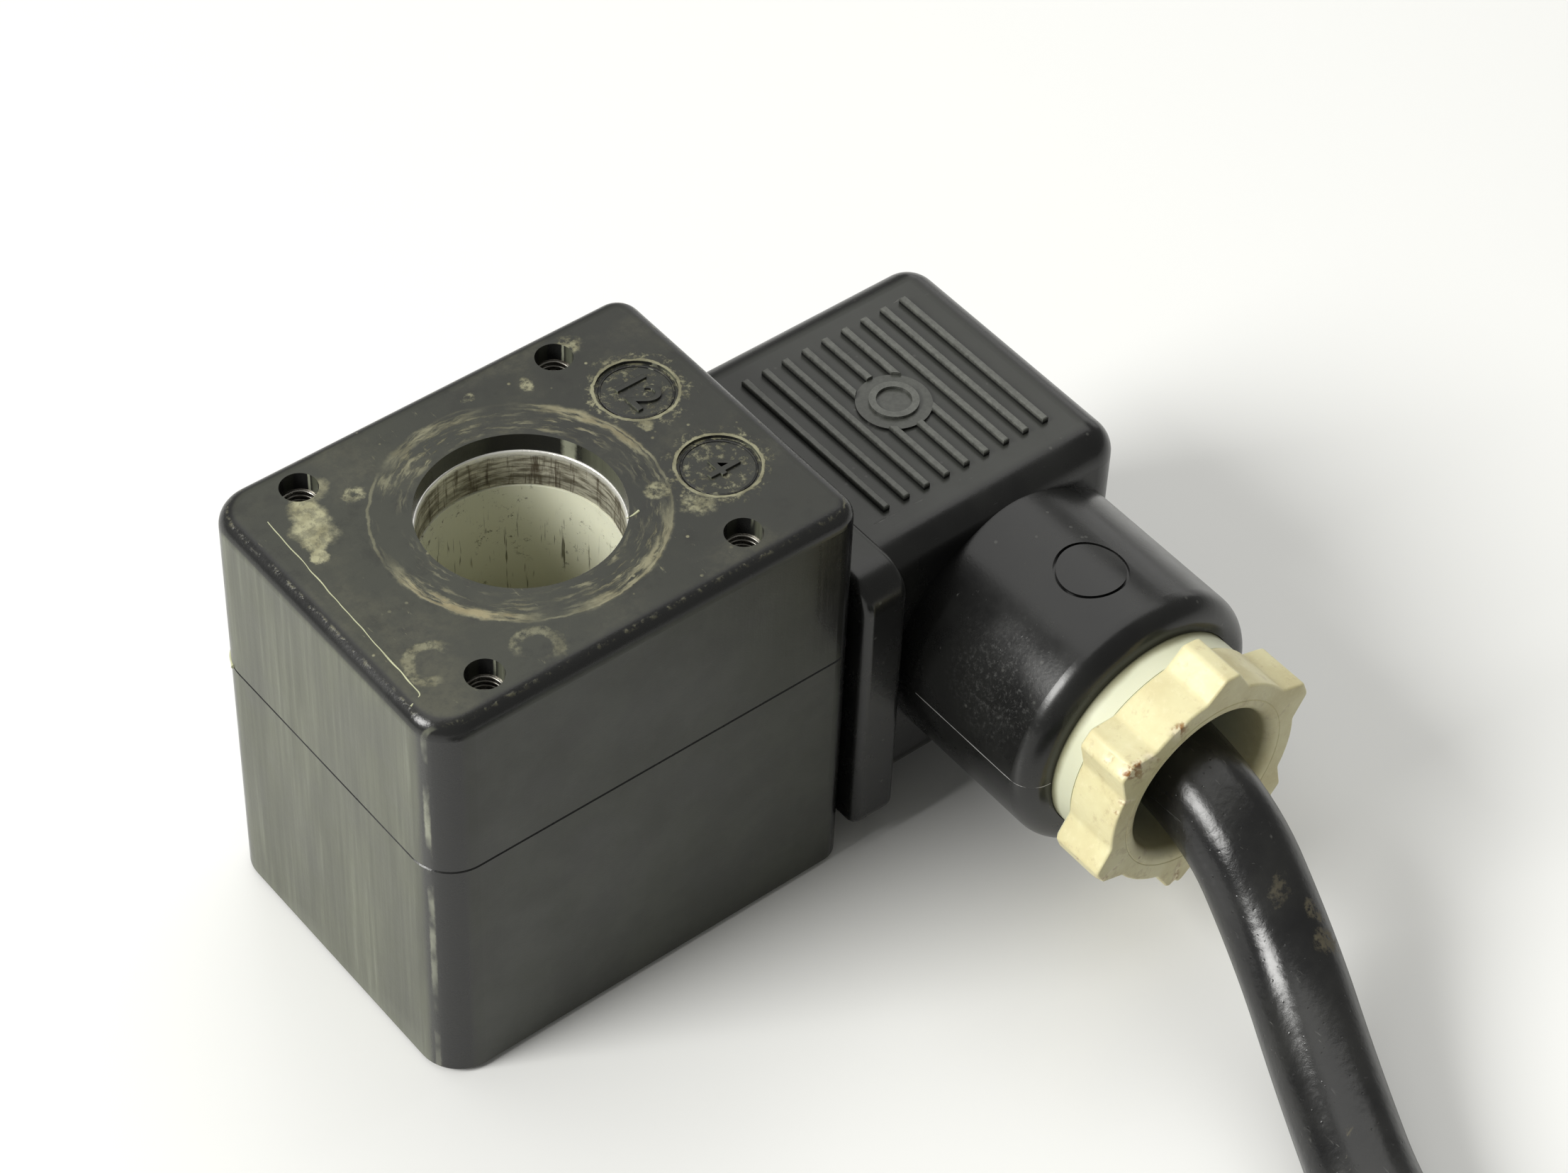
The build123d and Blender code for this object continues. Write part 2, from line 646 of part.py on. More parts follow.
def main():
    parts = {
        "case_upper": make_case_upper(),
        "case_lower": make_case_lower(),
        "bobbin": make_bobbin(),
        "winding": make_winding(TUBE_R, WIRE_R),
        "winding_tape": make_winding(WIRE_R, TAPE_R),
        "winding_leads": make_winding_leads(),
        "yoke_bracket": make_yoke_bracket(),
        "pole_plate": make_pole_plate(),
        "pole_bush": make_pole_bush(),
        "screw_insert": make_screw_insert(),
        "gasket": make_gasket(),
        "plug_housing": make_plug_housing(),
        "contact_insert": make_contact_insert(),
        "clamp_screws": make_clamp_screws(),
        "central_screw": make_central_screw(),
        "screw_seal": make_screw_seal(),
        "gland_nut": make_gland_nut(),
        "thrust_washer": make_thrust_washer(),
        "gland_seal": make_gland_seal(),
        "cable_entry": make_cable_entry(),
        "cable_run": make_cable_run(),
        "cable_coil": make_cable_coil(),
        "coil_tie": make_coil_tie(),
        "core_ferrules": make_ferrules(),
    }
    parts.update(make_blades())
    parts.update({name: make_contact(turn) for name, turn in CONTACT_TURNS.items()})
    parts.update({name: make_core(points) for name, points in make_plug_cores().items()})
    parts.update(make_tails())
    for name, shape in parts.items():
        export_step(shape, f"parts/{name}.step")


main()
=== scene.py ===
"""Looks of a solenoid coil with its right-angle terminal plug, gland and cable.

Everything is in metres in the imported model's frame: +Z up the coil's bore, +X from
the coil to the plug, and the cable leaves the plug towards -Y.
"""
import json
from math import atan2, cos, pi, radians, sin
from random import Random

import bmesh
import bpy
from mathutils import Matrix, Vector, noise


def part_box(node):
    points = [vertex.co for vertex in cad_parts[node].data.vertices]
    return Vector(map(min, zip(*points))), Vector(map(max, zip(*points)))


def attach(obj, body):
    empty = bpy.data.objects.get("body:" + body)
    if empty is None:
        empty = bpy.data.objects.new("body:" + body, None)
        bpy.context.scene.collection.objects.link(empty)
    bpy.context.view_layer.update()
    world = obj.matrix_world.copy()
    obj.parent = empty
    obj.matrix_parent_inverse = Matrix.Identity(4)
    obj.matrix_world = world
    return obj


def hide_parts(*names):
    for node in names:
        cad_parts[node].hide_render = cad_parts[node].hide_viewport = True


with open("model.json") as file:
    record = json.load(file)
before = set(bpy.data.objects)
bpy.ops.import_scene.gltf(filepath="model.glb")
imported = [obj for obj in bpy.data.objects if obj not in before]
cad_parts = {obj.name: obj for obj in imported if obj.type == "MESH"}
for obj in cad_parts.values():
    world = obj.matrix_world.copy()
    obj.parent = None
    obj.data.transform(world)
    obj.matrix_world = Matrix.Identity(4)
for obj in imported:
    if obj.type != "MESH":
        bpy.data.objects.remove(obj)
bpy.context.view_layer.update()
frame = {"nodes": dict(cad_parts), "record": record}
MM = 0.001
SCENE = bpy.context.scene

# ---------------------------------------------------------------- camera
LENS = 95.08
CAMERA_AT = Vector((-0.12824, -0.18089, 0.26536))
AZIMUTH, ELEVATION, ROLL = -40.577, 46.339, 2.614


def make_camera():
    a, e, roll = (radians(v) for v in (AZIMUTH, ELEVATION, ROLL))
    back = Vector((sin(a) * cos(e), -cos(a) * cos(e), sin(e)))
    right = Vector((cos(a), sin(a), 0))
    across = cos(roll) * right + sin(roll) * back.cross(right)
    camera = bpy.data.objects.new("camera", bpy.data.cameras.new("camera"))
    camera.data.lens = LENS
    camera.data.sensor_width = 36
    camera.data.clip_start = 0.01
    turn = Matrix((across, back.cross(across), back)).transposed()
    camera.matrix_world = Matrix.Translation(CAMERA_AT) @ turn.to_4x4()
    SCENE.collection.objects.link(camera)
    SCENE.camera = camera


make_camera()

# ---------------------------------------------------------------- cable
CABLE_D = 0.0085
TURN_STEP = 20
END_ANGLE = -1008
TURN_GAP = 0.0002
ROUTE = [
    (0.0392, -0.0300, 0.01685),
    (0.0392, -0.0398, 0.01685),
    (0.0374, -0.0504, 0.0097),
    (0.0330, -0.0606, 0.00635),
    (0.0278, -0.0722, 0.00465),
    (0.0263, -0.0845, 0.00425),
    (0.0270, -0.0980, 0.0045),
    (0.0292, -0.1108, 0.00485),
]


def coil_measures():
    """Centre, outer, inner and top radius, and the two heights of the cable's turns."""
    lo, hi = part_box("cable_coil")
    outer = (hi.x - lo.x) / 2 - CABLE_D / 2
    inner = outer - CABLE_D - TURN_GAP
    return (lo + hi) / 2, outer, inner, (outer + inner) / 2, lo.z + CABLE_D / 2, hi.z - CABLE_D / 2


def eased(value, stations):
    """Smooth step between the (position, result) stations either side of value."""
    for (p0, r0), (p1, r1) in zip(stations, stations[1:]):
        if value >= p1:
            t = (value - p0) / (p1 - p0)
            return r0 + (r1 - r0) * t * t * (3 - 2 * t)
    return stations[-1][1]


def turn_points():
    """Control points of three turns: two side by side, and one on top between them."""
    centre, outer, inner, middle, low, high = coil_measures()
    radii = [(0, outer), (-310, outer), (-352, inner), (-700, inner), (-748, middle),
             (END_ANGLE, middle)]
    heights = [(0, low), (-700, low), (-742, high), (END_ANGLE, high)]
    swell = 1 / cos(radians(TURN_STEP / 2))
    points = []
    for angle in [*range(-12, END_ANGLE, -TURN_STEP), END_ANGLE]:
        r = eased(angle, radii) * (1 if angle == END_ANGLE else swell)
        a = radians(angle)
        points.append((centre.x + r * cos(a), centre.y + r * sin(a), eased(angle, heights)))
    return points


def nurbs(name, points, radius, widths=None):
    """A round NURBS tube with these control points.

    The bevel is 1 m and each point's own radius scales it, because a curve's box
    grows by its points' radius.
    """
    curve = bpy.data.curves.new(name, "CURVE")
    curve.dimensions = "3D"
    curve.bevel_depth = 1
    curve.bevel_resolution = 8
    curve.resolution_u = 12
    curve.use_fill_caps = True
    spline = curve.splines.new("NURBS")
    spline.points.add(len(points) - 1)
    for i, place in enumerate(points):
        spline.points[i].co = (*place, 1)
        spline.points[i].radius = radius * (widths[i] if widths else 1)
    spline.order_u = 3
    spline.use_endpoint_u = True
    piece = bpy.data.objects.new(name, curve)
    SCENE.collection.objects.link(piece)
    return piece


cable = nurbs("cable", ROUTE + turn_points(), CABLE_D / 2)
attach(cable, "plug")
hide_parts("cable_run", "cable_coil")

# ---------------------------------------------------------------- places in millimetres
DIAL_X, DIAL_Y = 15.05, 5.25
DIAL_R = 3.42
PLUG_AXIS_Z = 16.85
PLUG_HALF = 13.75
PLUG_TOP = PLUG_AXIS_Z + PLUG_HALF
RIM_END_X = 26.0
# x, y, radius, stretch along y, strength of each patch of grease on the case's top face
THICK_GREASE = [(-13.0, 9.3, 1.75, 0.8, 1), (-13.9, 7.5, 1.9, 0.8, 1), (-14.3, 6.4, 1.3, 1, 1),
                (-14.9, 5.2, 0.8, 1, 1), (-11.5, 11.2, 1.6, 1, 0.6)]
THIN_GREASE = [(13.9, 12.4, 1.3, 1, 1), (13.4, 1.7, 0.8, 1, 1), (4.2, 12.4, 0.7, 1, 1),
               (11.2, -7.6, 1.5, 1, 1), (9.6, -4.6, 1.1, 1, 1), (5.2, -10.0, 0.7, 2, 1),
               (-9.2, 9.0, 1.0, 1, 1), (8.4, 10.8, 0.8, 1, 1)]
DRIED_ON_CABLE = [(39.0, -51.4, 1.0, 1, 1), (38.5, -53.4, 1.3, 1, 1), (37.3, -48.9, 1.1, 1, 0.6)]
# centre of a scuffed patch on the hub, partly a painted highlight, in millimetres
HUB_SCUFF_AND_HIGHLIGHT = (28.9, -24, 23.5)

# ---------------------------------------------------------------- surfaces
class Surface:
    """One procedural material. Its methods add nodes and give back their sockets."""

    def __init__(self, name, colour, roughness, metallic=0.0, **constants):
        self.material = bpy.data.materials.new(name)
        self.material.use_nodes = True
        self.tree = self.material.node_tree
        self.shader = self.tree.nodes["Principled BSDF"]
        where = self.tree.nodes.new("ShaderNodeTexCoord")
        self.place, self.normal = where.outputs["Object"], where.outputs["Normal"]
        self.put(self.shader.inputs["Base Color"], colour)
        self.put(self.shader.inputs["Roughness"], roughness)
        self.put(self.shader.inputs["Metallic"], metallic)
        for socket, value in constants.items():
            self.put(self.shader.inputs[socket.replace("_", " ")], value)

    def put(self, socket, value):
        if isinstance(value, bpy.types.NodeSocket):
            self.tree.links.new(value, socket)
        elif isinstance(value, tuple) and socket.type == "RGBA":
            socket.default_value = (*value, 1.0)
        else:
            socket.default_value = value

    def node(self, kind, inputs, **settings):
        made = self.tree.nodes.new(kind)
        for setting, value in settings.items():
            setattr(made, setting, value)
        for key, value in inputs.items():
            self.put(made.inputs[key], value)
        return made

    def math(self, operation, *values):
        return self.node("ShaderNodeMath", dict(enumerate(values)), operation=operation).outputs[0]

    def add(self, *values):
        total = values[0]
        for value in values[1:]:
            total = self.math("ADD", total, value)
        return total

    def times(self, *values):
        total = values[0]
        for value in values[1:]:
            total = self.math("MULTIPLY", total, value)
        return total

    def most(self, *values):
        total = values[0]
        for value in values[1:]:
            total = self.math("MAXIMUM", total, value)
        return total

    def split(self, vector):
        return self.node("ShaderNodeSeparateXYZ", {0: vector}).outputs

    def joined(self, x, y, z):
        return self.node("ShaderNodeCombineXYZ", {0: x, 1: y, 2: z}).outputs[0]

    def stretched(self, x, y, z, at=None):
        settings = {0: at or self.place, 1: (x, y, z)}
        return self.node("ShaderNodeVectorMath", settings, operation="MULTIPLY").outputs[0]

    def distance(self, point, at=None):
        settings = {0: at or self.place, 1: point}
        return self.node("ShaderNodeVectorMath", settings, operation="DISTANCE").outputs["Value"]

    def noise(self, scale, at=None, detail=3.0, roughness=0.55, distortion=0.0):
        settings = {"Vector": at or self.place, "Scale": scale, "Detail": detail,
                    "Roughness": roughness, "Distortion": distortion}
        return self.node("ShaderNodeTexNoise", settings).outputs[0]

    def cells(self, scale, at=None):
        settings = {"Vector": at or self.place, "Scale": scale}
        return self.node("ShaderNodeTexVoronoi", settings).outputs["Distance"]

    def fade(self, value, start, end, low=0.0, high=1.0):
        """Smooth step from low at start to high at end."""
        settings = {0: value, 1: start, 2: end, 3: low, 4: high}
        return self.node("ShaderNodeMapRange", settings, interpolation_type="SMOOTHSTEP").outputs[0]

    def band(self, value, centre, half, soft):
        """1 within half of centre, fading to 0 over soft."""
        away = self.math("ABSOLUTE", self.math("SUBTRACT", value, centre))
        return self.fade(away, half + soft, half)

    def mixed(self, factor, a, b):
        made = self.node("ShaderNodeMix", {"Factor": factor}, data_type="RGBA")
        self.put(made.inputs[6], a)
        self.put(made.inputs[7], b)
        return made.outputs[2]

    def colour(self, value):
        self.put(self.shader.inputs["Base Color"], value)

    def roughness(self, value):
        self.put(self.shader.inputs["Roughness"], value)

    def bumps(self, *heights):
        """Stacks (height socket, depth in metres) pairs into the shader's normal."""
        normal = None
        for height, depth in heights:
            made = self.node("ShaderNodeBump", {"Height": height, "Distance": depth})
            if normal:
                self.put(made.inputs["Normal"], normal)
            normal = made.outputs[0]
        self.put(self.shader.inputs["Normal"], normal)


def edge_mask(s):
    """1 on a rounded edge, 0 on faces square to the axes."""
    x, y, z = (s.math("ABSOLUTE", v) for v in s.split(s.normal))
    return s.fade(s.most(x, y, z), 0.995, 0.93)


DUST = (0.24, 0.225, 0.13)
PALE_DUST = (0.42, 0.405, 0.255)
BROWN_DUST = (0.25, 0.19, 0.10)


def patch(s, x, y, radius, ragged, stretch=1.0):
    """A ragged patch on a level face, centred on x and y in millimetres."""
    away = s.distance((x * MM, y * MM * stretch, 0), s.stretched(1, stretch, 0))
    return s.fade(s.add(away, ragged), radius * MM, radius * MM * 0.5)


def patches(s, places, ragged):
    """The strongest of several patches, each (x, y, radius, stretch, strength)."""
    return s.most(*(s.times(patch(s, x, y, radius, ragged, stretch), strength)
                    for x, y, radius, stretch, strength in places))


def jitter(s, scale, width, **settings):
    """Noise about zero, in metres, that makes an outline ragged."""
    return s.times(s.math("SUBTRACT", s.noise(scale, **settings), 0.5), width)


def ring(s, x, y, radius, half, ragged):
    """A ring on a level face, centred on x and y in millimetres."""
    away = s.distance((x * MM, y * MM, 0), s.stretched(1, 1, 0))
    return s.band(s.add(away, ragged), radius * MM, half * MM, half * MM)


def open_ring(s, at, radius, half, ragged, gap):
    """A ring that fades out towards one side, given as a direction."""
    x, y, _ = s.split(s.place)
    reach = s.add(s.times(s.math("SUBTRACT", x, at[0] * MM), gap[0]),
                  s.times(s.math("SUBTRACT", y, at[1] * MM), gap[1]))
    return s.times(ring(s, *at, radius, half, ragged), s.fade(reach, radius * 0.7 * MM, 0))


def arc(s, turn, centre, half):
    """1 near an angle round the bore, in degrees."""
    away = s.math("ABSOLUTE", s.math("SUBTRACT", turn, radians(centre)))
    near = s.math("MINIMUM", away, s.math("SUBTRACT", 2 * pi, away))
    return s.fade(near, radians(half), radians(half * 0.35))


def bore_grime(s, x, y, ragged):
    """Rubbed rings round the bore, left by the part that was clamped on it."""
    turn = s.math("ARCTAN2", y, x)
    r = s.add(s.distance((0, 0, 0), s.stretched(1, 1, 0)), s.times(ragged, 0.25))
    along = s.joined(s.times(s.math("COSINE", turn), 4), s.times(s.math("SINE", turn), 4),
                     s.times(r, 2300))
    streaks = s.noise(1, along, detail=5, roughness=0.62)
    wide = s.noise(1, s.joined(s.times(s.math("COSINE", turn), 1.6),
                               s.times(s.math("SINE", turn), 1.6), s.times(r, 500)), detail=2)
    zone = s.times(s.fade(r, 8.3 * MM, 8.9 * MM), s.fade(r, 12.0 * MM, 11.2 * MM))
    rubbed = s.times(zone, s.fade(streaks, 0.5, 0.66), s.fade(wide, 0.34, 0.62))
    heavy = s.most(arc(s, turn, -152, 42), s.times(arc(s, turn, 22, 40), 0.8),
                   s.times(arc(s, turn, -70, 46), 0.7), s.times(arc(s, turn, 95, 30), 0.55))
    thick = s.band(s.add(r, s.times(ragged, 0.2)), 11.2 * MM, 0.18 * MM, 0.5 * MM)
    line = s.band(r, 11.55 * MM, 0.05 * MM, 0.12 * MM)
    broken = s.fade(streaks, 0.36, 0.56)
    return s.most(s.times(rubbed, s.fade(heavy, 0, 1, 0.4, 0.85)), s.times(thick, heavy, broken),
                  s.times(line, s.fade(wide, 0.38, 0.56), s.fade(heavy, 0, 1, 0.3, 0.8))), heavy


def case_grease(s, up, cloud, fine, small):
    """Dried grease on the top face: how much of it shows, and its colour."""
    x, y, z = s.split(s.place)
    ragged = jitter(s, 560, 2.4 * MM, detail=5, roughness=0.65)
    grime, heavy = bore_grime(s, x, y, ragged)
    broken = s.fade(s.noise(1500, detail=5, roughness=0.7), 0.34, 0.6)
    thin = s.most(
        patches(s, THIN_GREASE, ragged),
        s.times(open_ring(s, (-14.5, -8.9), 1.85, 0.3, s.times(ragged, 0.5), (0.76, -0.65)), 0.66),
        s.times(open_ring(s, (-7.4, -12.3), 1.7, 0.3, s.times(ragged, 0.6), (-0.65, -0.76)), 0.5))
    rims = []
    for side in (DIAL_Y, -DIAL_Y):
        rims.append(ring(s, DIAL_X, side, DIAL_R, 0.1, small))
        rims.append(s.times(ring(s, DIAL_X, side, DIAL_R + 0.38, 0.3, ragged), s.fade(fine, 0.5, 0.7)))
    dial = s.times(s.fade(z, 40.95 * MM, 40.85 * MM), s.fade(z, 40.6 * MM, 40.7 * MM),
                   s.fade(s.noise(1500, detail=5, roughness=0.7), 0.5, 0.66), 0.5)
    specks = s.times(s.fade(s.cells(700), 0.13, 0.06), s.fade(cloud, 0.5, 0.62))
    solid = s.times(patches(s, THICK_GREASE, ragged), s.fade(broken, 0, 1, 0.55, 1.0))
    grease = s.most(solid, s.times(thin, broken, 0.75), grime, s.times(s.most(*rims), 0.7), dial,
                    s.times(specks, 0.6), s.times(scuff_and_sheen_marks(s), 0.4))
    dust = s.mixed(s.fade(s.noise(600, detail=3), 0.35, 0.65), DUST, PALE_DUST)
    return s.times(up, grease), s.mixed(s.times(heavy, grime, 0.55), dust, BROWN_DUST)


def scuff_and_sheen_marks(s):
    """Short marks across the bore's direction: rubbed marks in the grease, and painted highlights on the
    case's edges.
    """
    return s.times(s.fade(s.noise(1, s.stretched(2200, 500, 900), detail=4, roughness=0.7), 0.62, 0.72),
                   s.fade(s.noise(130, detail=2), 0.52, 0.64))


def case_left_face(s, base, streaks, cloud, small):
    """Pale film, wear and the bright strip on the side away from the plug."""
    x, y, z = s.split(s.place)
    nx, ny, nz = s.split(s.normal)
    left = s.fade(nx, -0.8, -0.97)
    side = s.fade(s.math("ABSOLUTE", nz), 0.4, 0.1)
    broad = s.noise(1, s.stretched(260, 260, 45), detail=3, roughness=0.6)
    film = s.times(left, s.fade(broad, 0.3, 0.7, 0.6, 1.0), s.fade(streaks, 0.3, 0.7, 0.62, 1.0),
                   s.fade(cloud, 0.3, 0.7, 0.72, 1.0))
    low_edge = s.times(side, s.fade(s.add(z, s.times(cloud, 6 * MM)), 6 * MM, 2 * MM))
    worn = s.times(left, s.fade(streaks, 0.52, 0.72), s.fade(broad, 0.42, 0.62))
    strip = s.times(s.band(s.add(ny, s.times(small, 90)), -0.45, 0.035, 0.05), s.fade(nx, -0.5, -0.8),
                    s.fade(s.noise(1, s.stretched(300, 300, 150), detail=3), 0.36, 0.56),
                    s.fade(z, 4 * MM, 26 * MM, 0.35, 1.0))
    base = s.mixed(s.times(film, 0.62), base, (0.195, 0.205, 0.145))
    return s.mixed(s.times(s.most(worn, s.times(low_edge, left)), 0.5), base, (0.16, 0.17, 0.13)), strip


def case_hub_reflection(s, cloud):
    """Painted reflection of the plug's hub: a darker, more polished patch of the front face beside the
    plug.
    """
    x, y, z = s.split(s.place)
    front = s.fade(s.split(s.normal)[1], -0.8, -0.97)
    soft = s.times(s.math("SUBTRACT", cloud, 0.5), 3 * MM)
    slope = s.add(z, s.times(x, 1.8), soft)
    return s.times(front, s.fade(s.add(x, soft), 15 * MM, 17.5 * MM), s.fade(slope, 59.5 * MM, 62.5 * MM))


def case_surface():
    """Dark moulded plastic, polished on its edges, with dried grease on its top face, painted shade and
    highlights on its edges, and a painted reflection of the hub on its front face.
    """
    s = Surface("case_plastic", (0.022, 0.023, 0.02), 0.4)
    x = s.split(s.place)[0]
    _, ny, nz = s.split(s.normal)
    edge = edge_mask(s)
    cloud = s.noise(160, detail=4)
    fine = s.noise(1400, detail=5, roughness=0.7)
    streaks = s.noise(1, s.stretched(2100, 2100, 60), detail=5, roughness=0.65)
    small = jitter(s, 1500, 0.5 * MM, detail=4, roughness=0.6)
    up = s.fade(nz, 0.7, 0.95)
    bloom = s.times(s.fade(ny, -0.8, -0.97), s.fade(s.noise(210, detail=5, roughness=0.6), 0.36, 0.66))
    smudge = s.times(up, s.fade(s.noise(95, detail=6, roughness=0.68), 0.46, 0.66))
    stain = s.times(up, s.fade(s.noise(330, detail=6, roughness=0.72), 0.5, 0.68))
    hub_reflection = case_hub_reflection(s, cloud)
    grease, dust = case_grease(s, up, cloud, fine, small)

    base = s.mixed(s.fade(cloud, 0.3, 0.7), (0.0185, 0.020, 0.0145), (0.0275, 0.0295, 0.0215))
    base = s.mixed(s.times(fine, 0.3), base, (0.055, 0.057, 0.042))
    base = s.mixed(s.times(bloom, 0.28), base, (0.066, 0.073, 0.052))
    # painted reflection of the hub: the front face beside the plug painted near black
    base = s.mixed(s.times(hub_reflection, 0.85), base, (0.006, 0.006, 0.005))
    base = s.mixed(s.times(up, s.fade(x, 12 * MM, -14 * MM), 0.25), base, (0.06, 0.063, 0.046))
    base = s.mixed(s.times(up, s.fade(x, -8 * MM, 12 * MM), 0.45), base, (0.011, 0.0115, 0.0095))
    base = s.mixed(s.times(stain, 0.45), base, (0.010, 0.010, 0.008))
    base = s.mixed(s.times(smudge, s.fade(fine, 0.35, 0.6, 0.3, 1.0), 0.42), base, (0.095, 0.092, 0.06))
    base, strip = case_left_face(s, base, streaks, cloud, small)
    # painted shade: the rounded edges painted darker
    base = s.mixed(s.times(edge, 0.85), base, (0.010, 0.010, 0.011))
    # painted highlights: pale dashes on the rounded edges
    base = s.mixed(s.times(edge, scuff_and_sheen_marks(s), 0.35), base, (0.10, 0.10, 0.10))
    base = s.mixed(s.times(strip, 0.9), base, (0.30, 0.31, 0.235))
    s.colour(s.mixed(s.times(grease, 0.88), base, dust))
    rough = s.add(s.fade(cloud, 0.3, 0.7, 0.32, 0.42), s.times(fine, 0.1), s.times(up, 0.06))
    rough = s.math("SUBTRACT", rough, s.times(edge, 0.16))
    rough = s.math("SUBTRACT", rough, s.times(hub_reflection, 0.17))
    s.roughness(s.math("MAXIMUM", rough, s.times(grease, 0.75)))
    s.bumps((s.noise(5200, detail=3), 0.010 * MM), (streaks, 0.010 * MM), (grease, 0.05 * MM))
    return s.material


def plug_surface():
    """Semi-gloss black moulding with rub marks and fine hairline scratches, painted highlights on its ribs,
    and a scuffed patch on the hub that is partly a painted highlight.
    """
    s = Surface("plug_plastic", (0.009, 0.009, 0.009), 0.3)
    x, y, z = s.split(s.place)
    cloud = s.noise(130, detail=4)
    fine = s.noise(2200, detail=4, roughness=0.7)
    hairs = s.noise(1, s.stretched(300, 2600, 2600), detail=3, roughness=0.7, distortion=0.4)
    scratch = s.times(s.fade(hairs, 0.66, 0.74), s.fade(s.noise(220), 0.5, 0.6))
    specks = s.fade(s.cells(520), 0.1, 0.05)
    up = s.fade(s.split(s.normal)[2], 0.85, 0.98)
    base = s.mixed(s.fade(cloud, 0.35, 0.65), (0.006, 0.006, 0.006), (0.011, 0.0112, 0.0105))
    off_axis = s.math("ABSOLUTE", s.math("SUBTRACT", z, PLUG_AXIS_Z * MM))
    face = s.times(s.fade(off_axis, (PLUG_HALF - 0.15) * MM, PLUG_HALF * MM), s.fade(y, -14 * MM, -12 * MM))
    base = s.mixed(s.times(up, face, 0.7), base, (0.034, 0.036, 0.030))
    past_rim = s.fade(x, (RIM_END_X + 0.2) * MM, (RIM_END_X + 0.8) * MM)
    # painted highlight on the ribs' lit flanks and tops, with some dust
    rib_painted_light = s.times(s.fade(z, (PLUG_TOP + 0.15) * MM, (PLUG_TOP + 0.35) * MM), past_rim,
                   s.fade(fine, 0.3, 0.7, 0.5, 1.0))
    base = s.mixed(s.times(rib_painted_light, 0.8), base, (0.13, 0.134, 0.118))
    base = s.mixed(s.times(scratch, 0.5), base, (0.15, 0.15, 0.14))
    # scuffed patch on the hub's shoulder, partly a painted highlight
    away = s.distance(tuple(v * MM for v in HUB_SCUFF_AND_HIGHLIGHT))
    rubbed = s.times(s.fade(away, 7 * MM, 1.5 * MM),
                     s.fade(s.noise(2600, detail=6, roughness=0.85), 0.5, 0.68))
    base = s.mixed(s.times(rubbed, 0.45), base, (0.14, 0.14, 0.135))
    s.colour(s.mixed(s.times(specks, 0.35), base, (0.12, 0.12, 0.11)))
    rough = s.add(s.fade(cloud, 0.3, 0.7, 0.17, 0.27), s.times(fine, 0.07), s.times(up, face, 0.1))
    s.roughness(rough)
    s.bumps((s.noise(3600, detail=3), 0.006 * MM), (scratch, 0.01 * MM))
    return s.material


def nut_surface():
    """Yellowed cream moulding. The mesh's wear attribute marks its chips."""
    s = Surface("nut_plastic", (0.8, 0.74, 0.5), 0.4, Subsurface_Weight=0.05,
                Subsurface_Radius=(0.0008, 0.0006, 0.0003), Subsurface_Scale=1.0)
    y = s.split(s.place)[1]
    wear = s.node("ShaderNodeAttribute", {}, attribute_name="wear").outputs["Fac"]
    clean = s.node("ShaderNodeAttribute", {}, attribute_name="clean").outputs["Fac"]
    cloud = s.noise(260, detail=4)
    fine = s.noise(1800, detail=4, roughness=0.7)
    spots = s.times(s.fade(s.cells(520), 0.12, 0.05), s.fade(s.noise(300), 0.52, 0.6))
    base = s.mixed(s.fade(cloud, 0.3, 0.7), (0.75, 0.70, 0.42), (0.67, 0.60, 0.34))
    base = s.mixed(s.times(s.fade(fine, 0.5, 0.75), 0.35), base, (0.86, 0.80, 0.56))
    stain = s.times(s.fade(s.noise(700, detail=5, roughness=0.7), 0.54, 0.68), 0.35)
    base = s.mixed(stain, base, (0.42, 0.32, 0.16))
    base = s.mixed(clean, base, (0.64, 0.65, 0.48))
    by_hub = s.fade(s.add(y, s.times(cloud, 0.6 * MM)), -31.1 * MM, -30.4 * MM)
    base = s.mixed(s.times(by_hub, 0.8), base, (0.20, 0.19, 0.10))
    chip = s.mixed(s.fade(s.noise(1500, detail=2), 0.4, 0.56), (0.30, 0.14, 0.04), (0.84, 0.76, 0.52))
    base = s.mixed(s.times(spots, 0.8), base, (0.32, 0.20, 0.09))
    s.colour(s.mixed(wear, base, chip))
    s.roughness(s.fade(cloud, 0.3, 0.7, 0.34, 0.5))
    s.bumps((fine, 0.012 * MM), (cloud, 0.05 * MM))
    return s.material


def bobbin_surface():
    """Cream liner with dark draw marks down the bore, specks of dirt, and painted shade deeper down the
    bore.
    """
    s = Surface("bobbin_plastic", (0.7, 0.68, 0.54), 0.35, Subsurface_Weight=0.1,
                Subsurface_Radius=(0.001, 0.0008, 0.0005), Subsurface_Scale=1.0)
    x, y, z = s.split(s.place)
    turn = s.math("ARCTAN2", y, x)
    marks = s.noise(1, s.joined(s.times(turn, 16), s.times(z, 110), 0.0), detail=3, roughness=0.85)
    hair = s.times(s.fade(marks, 0.60, 0.66), s.fade(z, 34 * MM, 31 * MM))
    dirt = s.times(s.fade(s.noise(1100, detail=6, roughness=0.85), 0.56, 0.63),
                   s.fade(s.noise(1, s.stretched(260, 260, 120)), 0.42, 0.56))
    # painted shade: the liner painted darker deeper down the bore
    low = s.fade(z, 34 * MM, 12 * MM)
    base = s.mixed(low, (0.76, 0.77, 0.62), (0.42, 0.40, 0.27))
    base = s.mixed(s.times(s.noise(300, detail=4), 0.3), base, (0.60, 0.58, 0.43))
    s.colour(s.mixed(s.times(s.most(hair, dirt), 0.85), base, (0.09, 0.08, 0.045)))
    s.bumps((marks, 0.03 * MM), (s.noise(1500), 0.01 * MM))
    return s.material


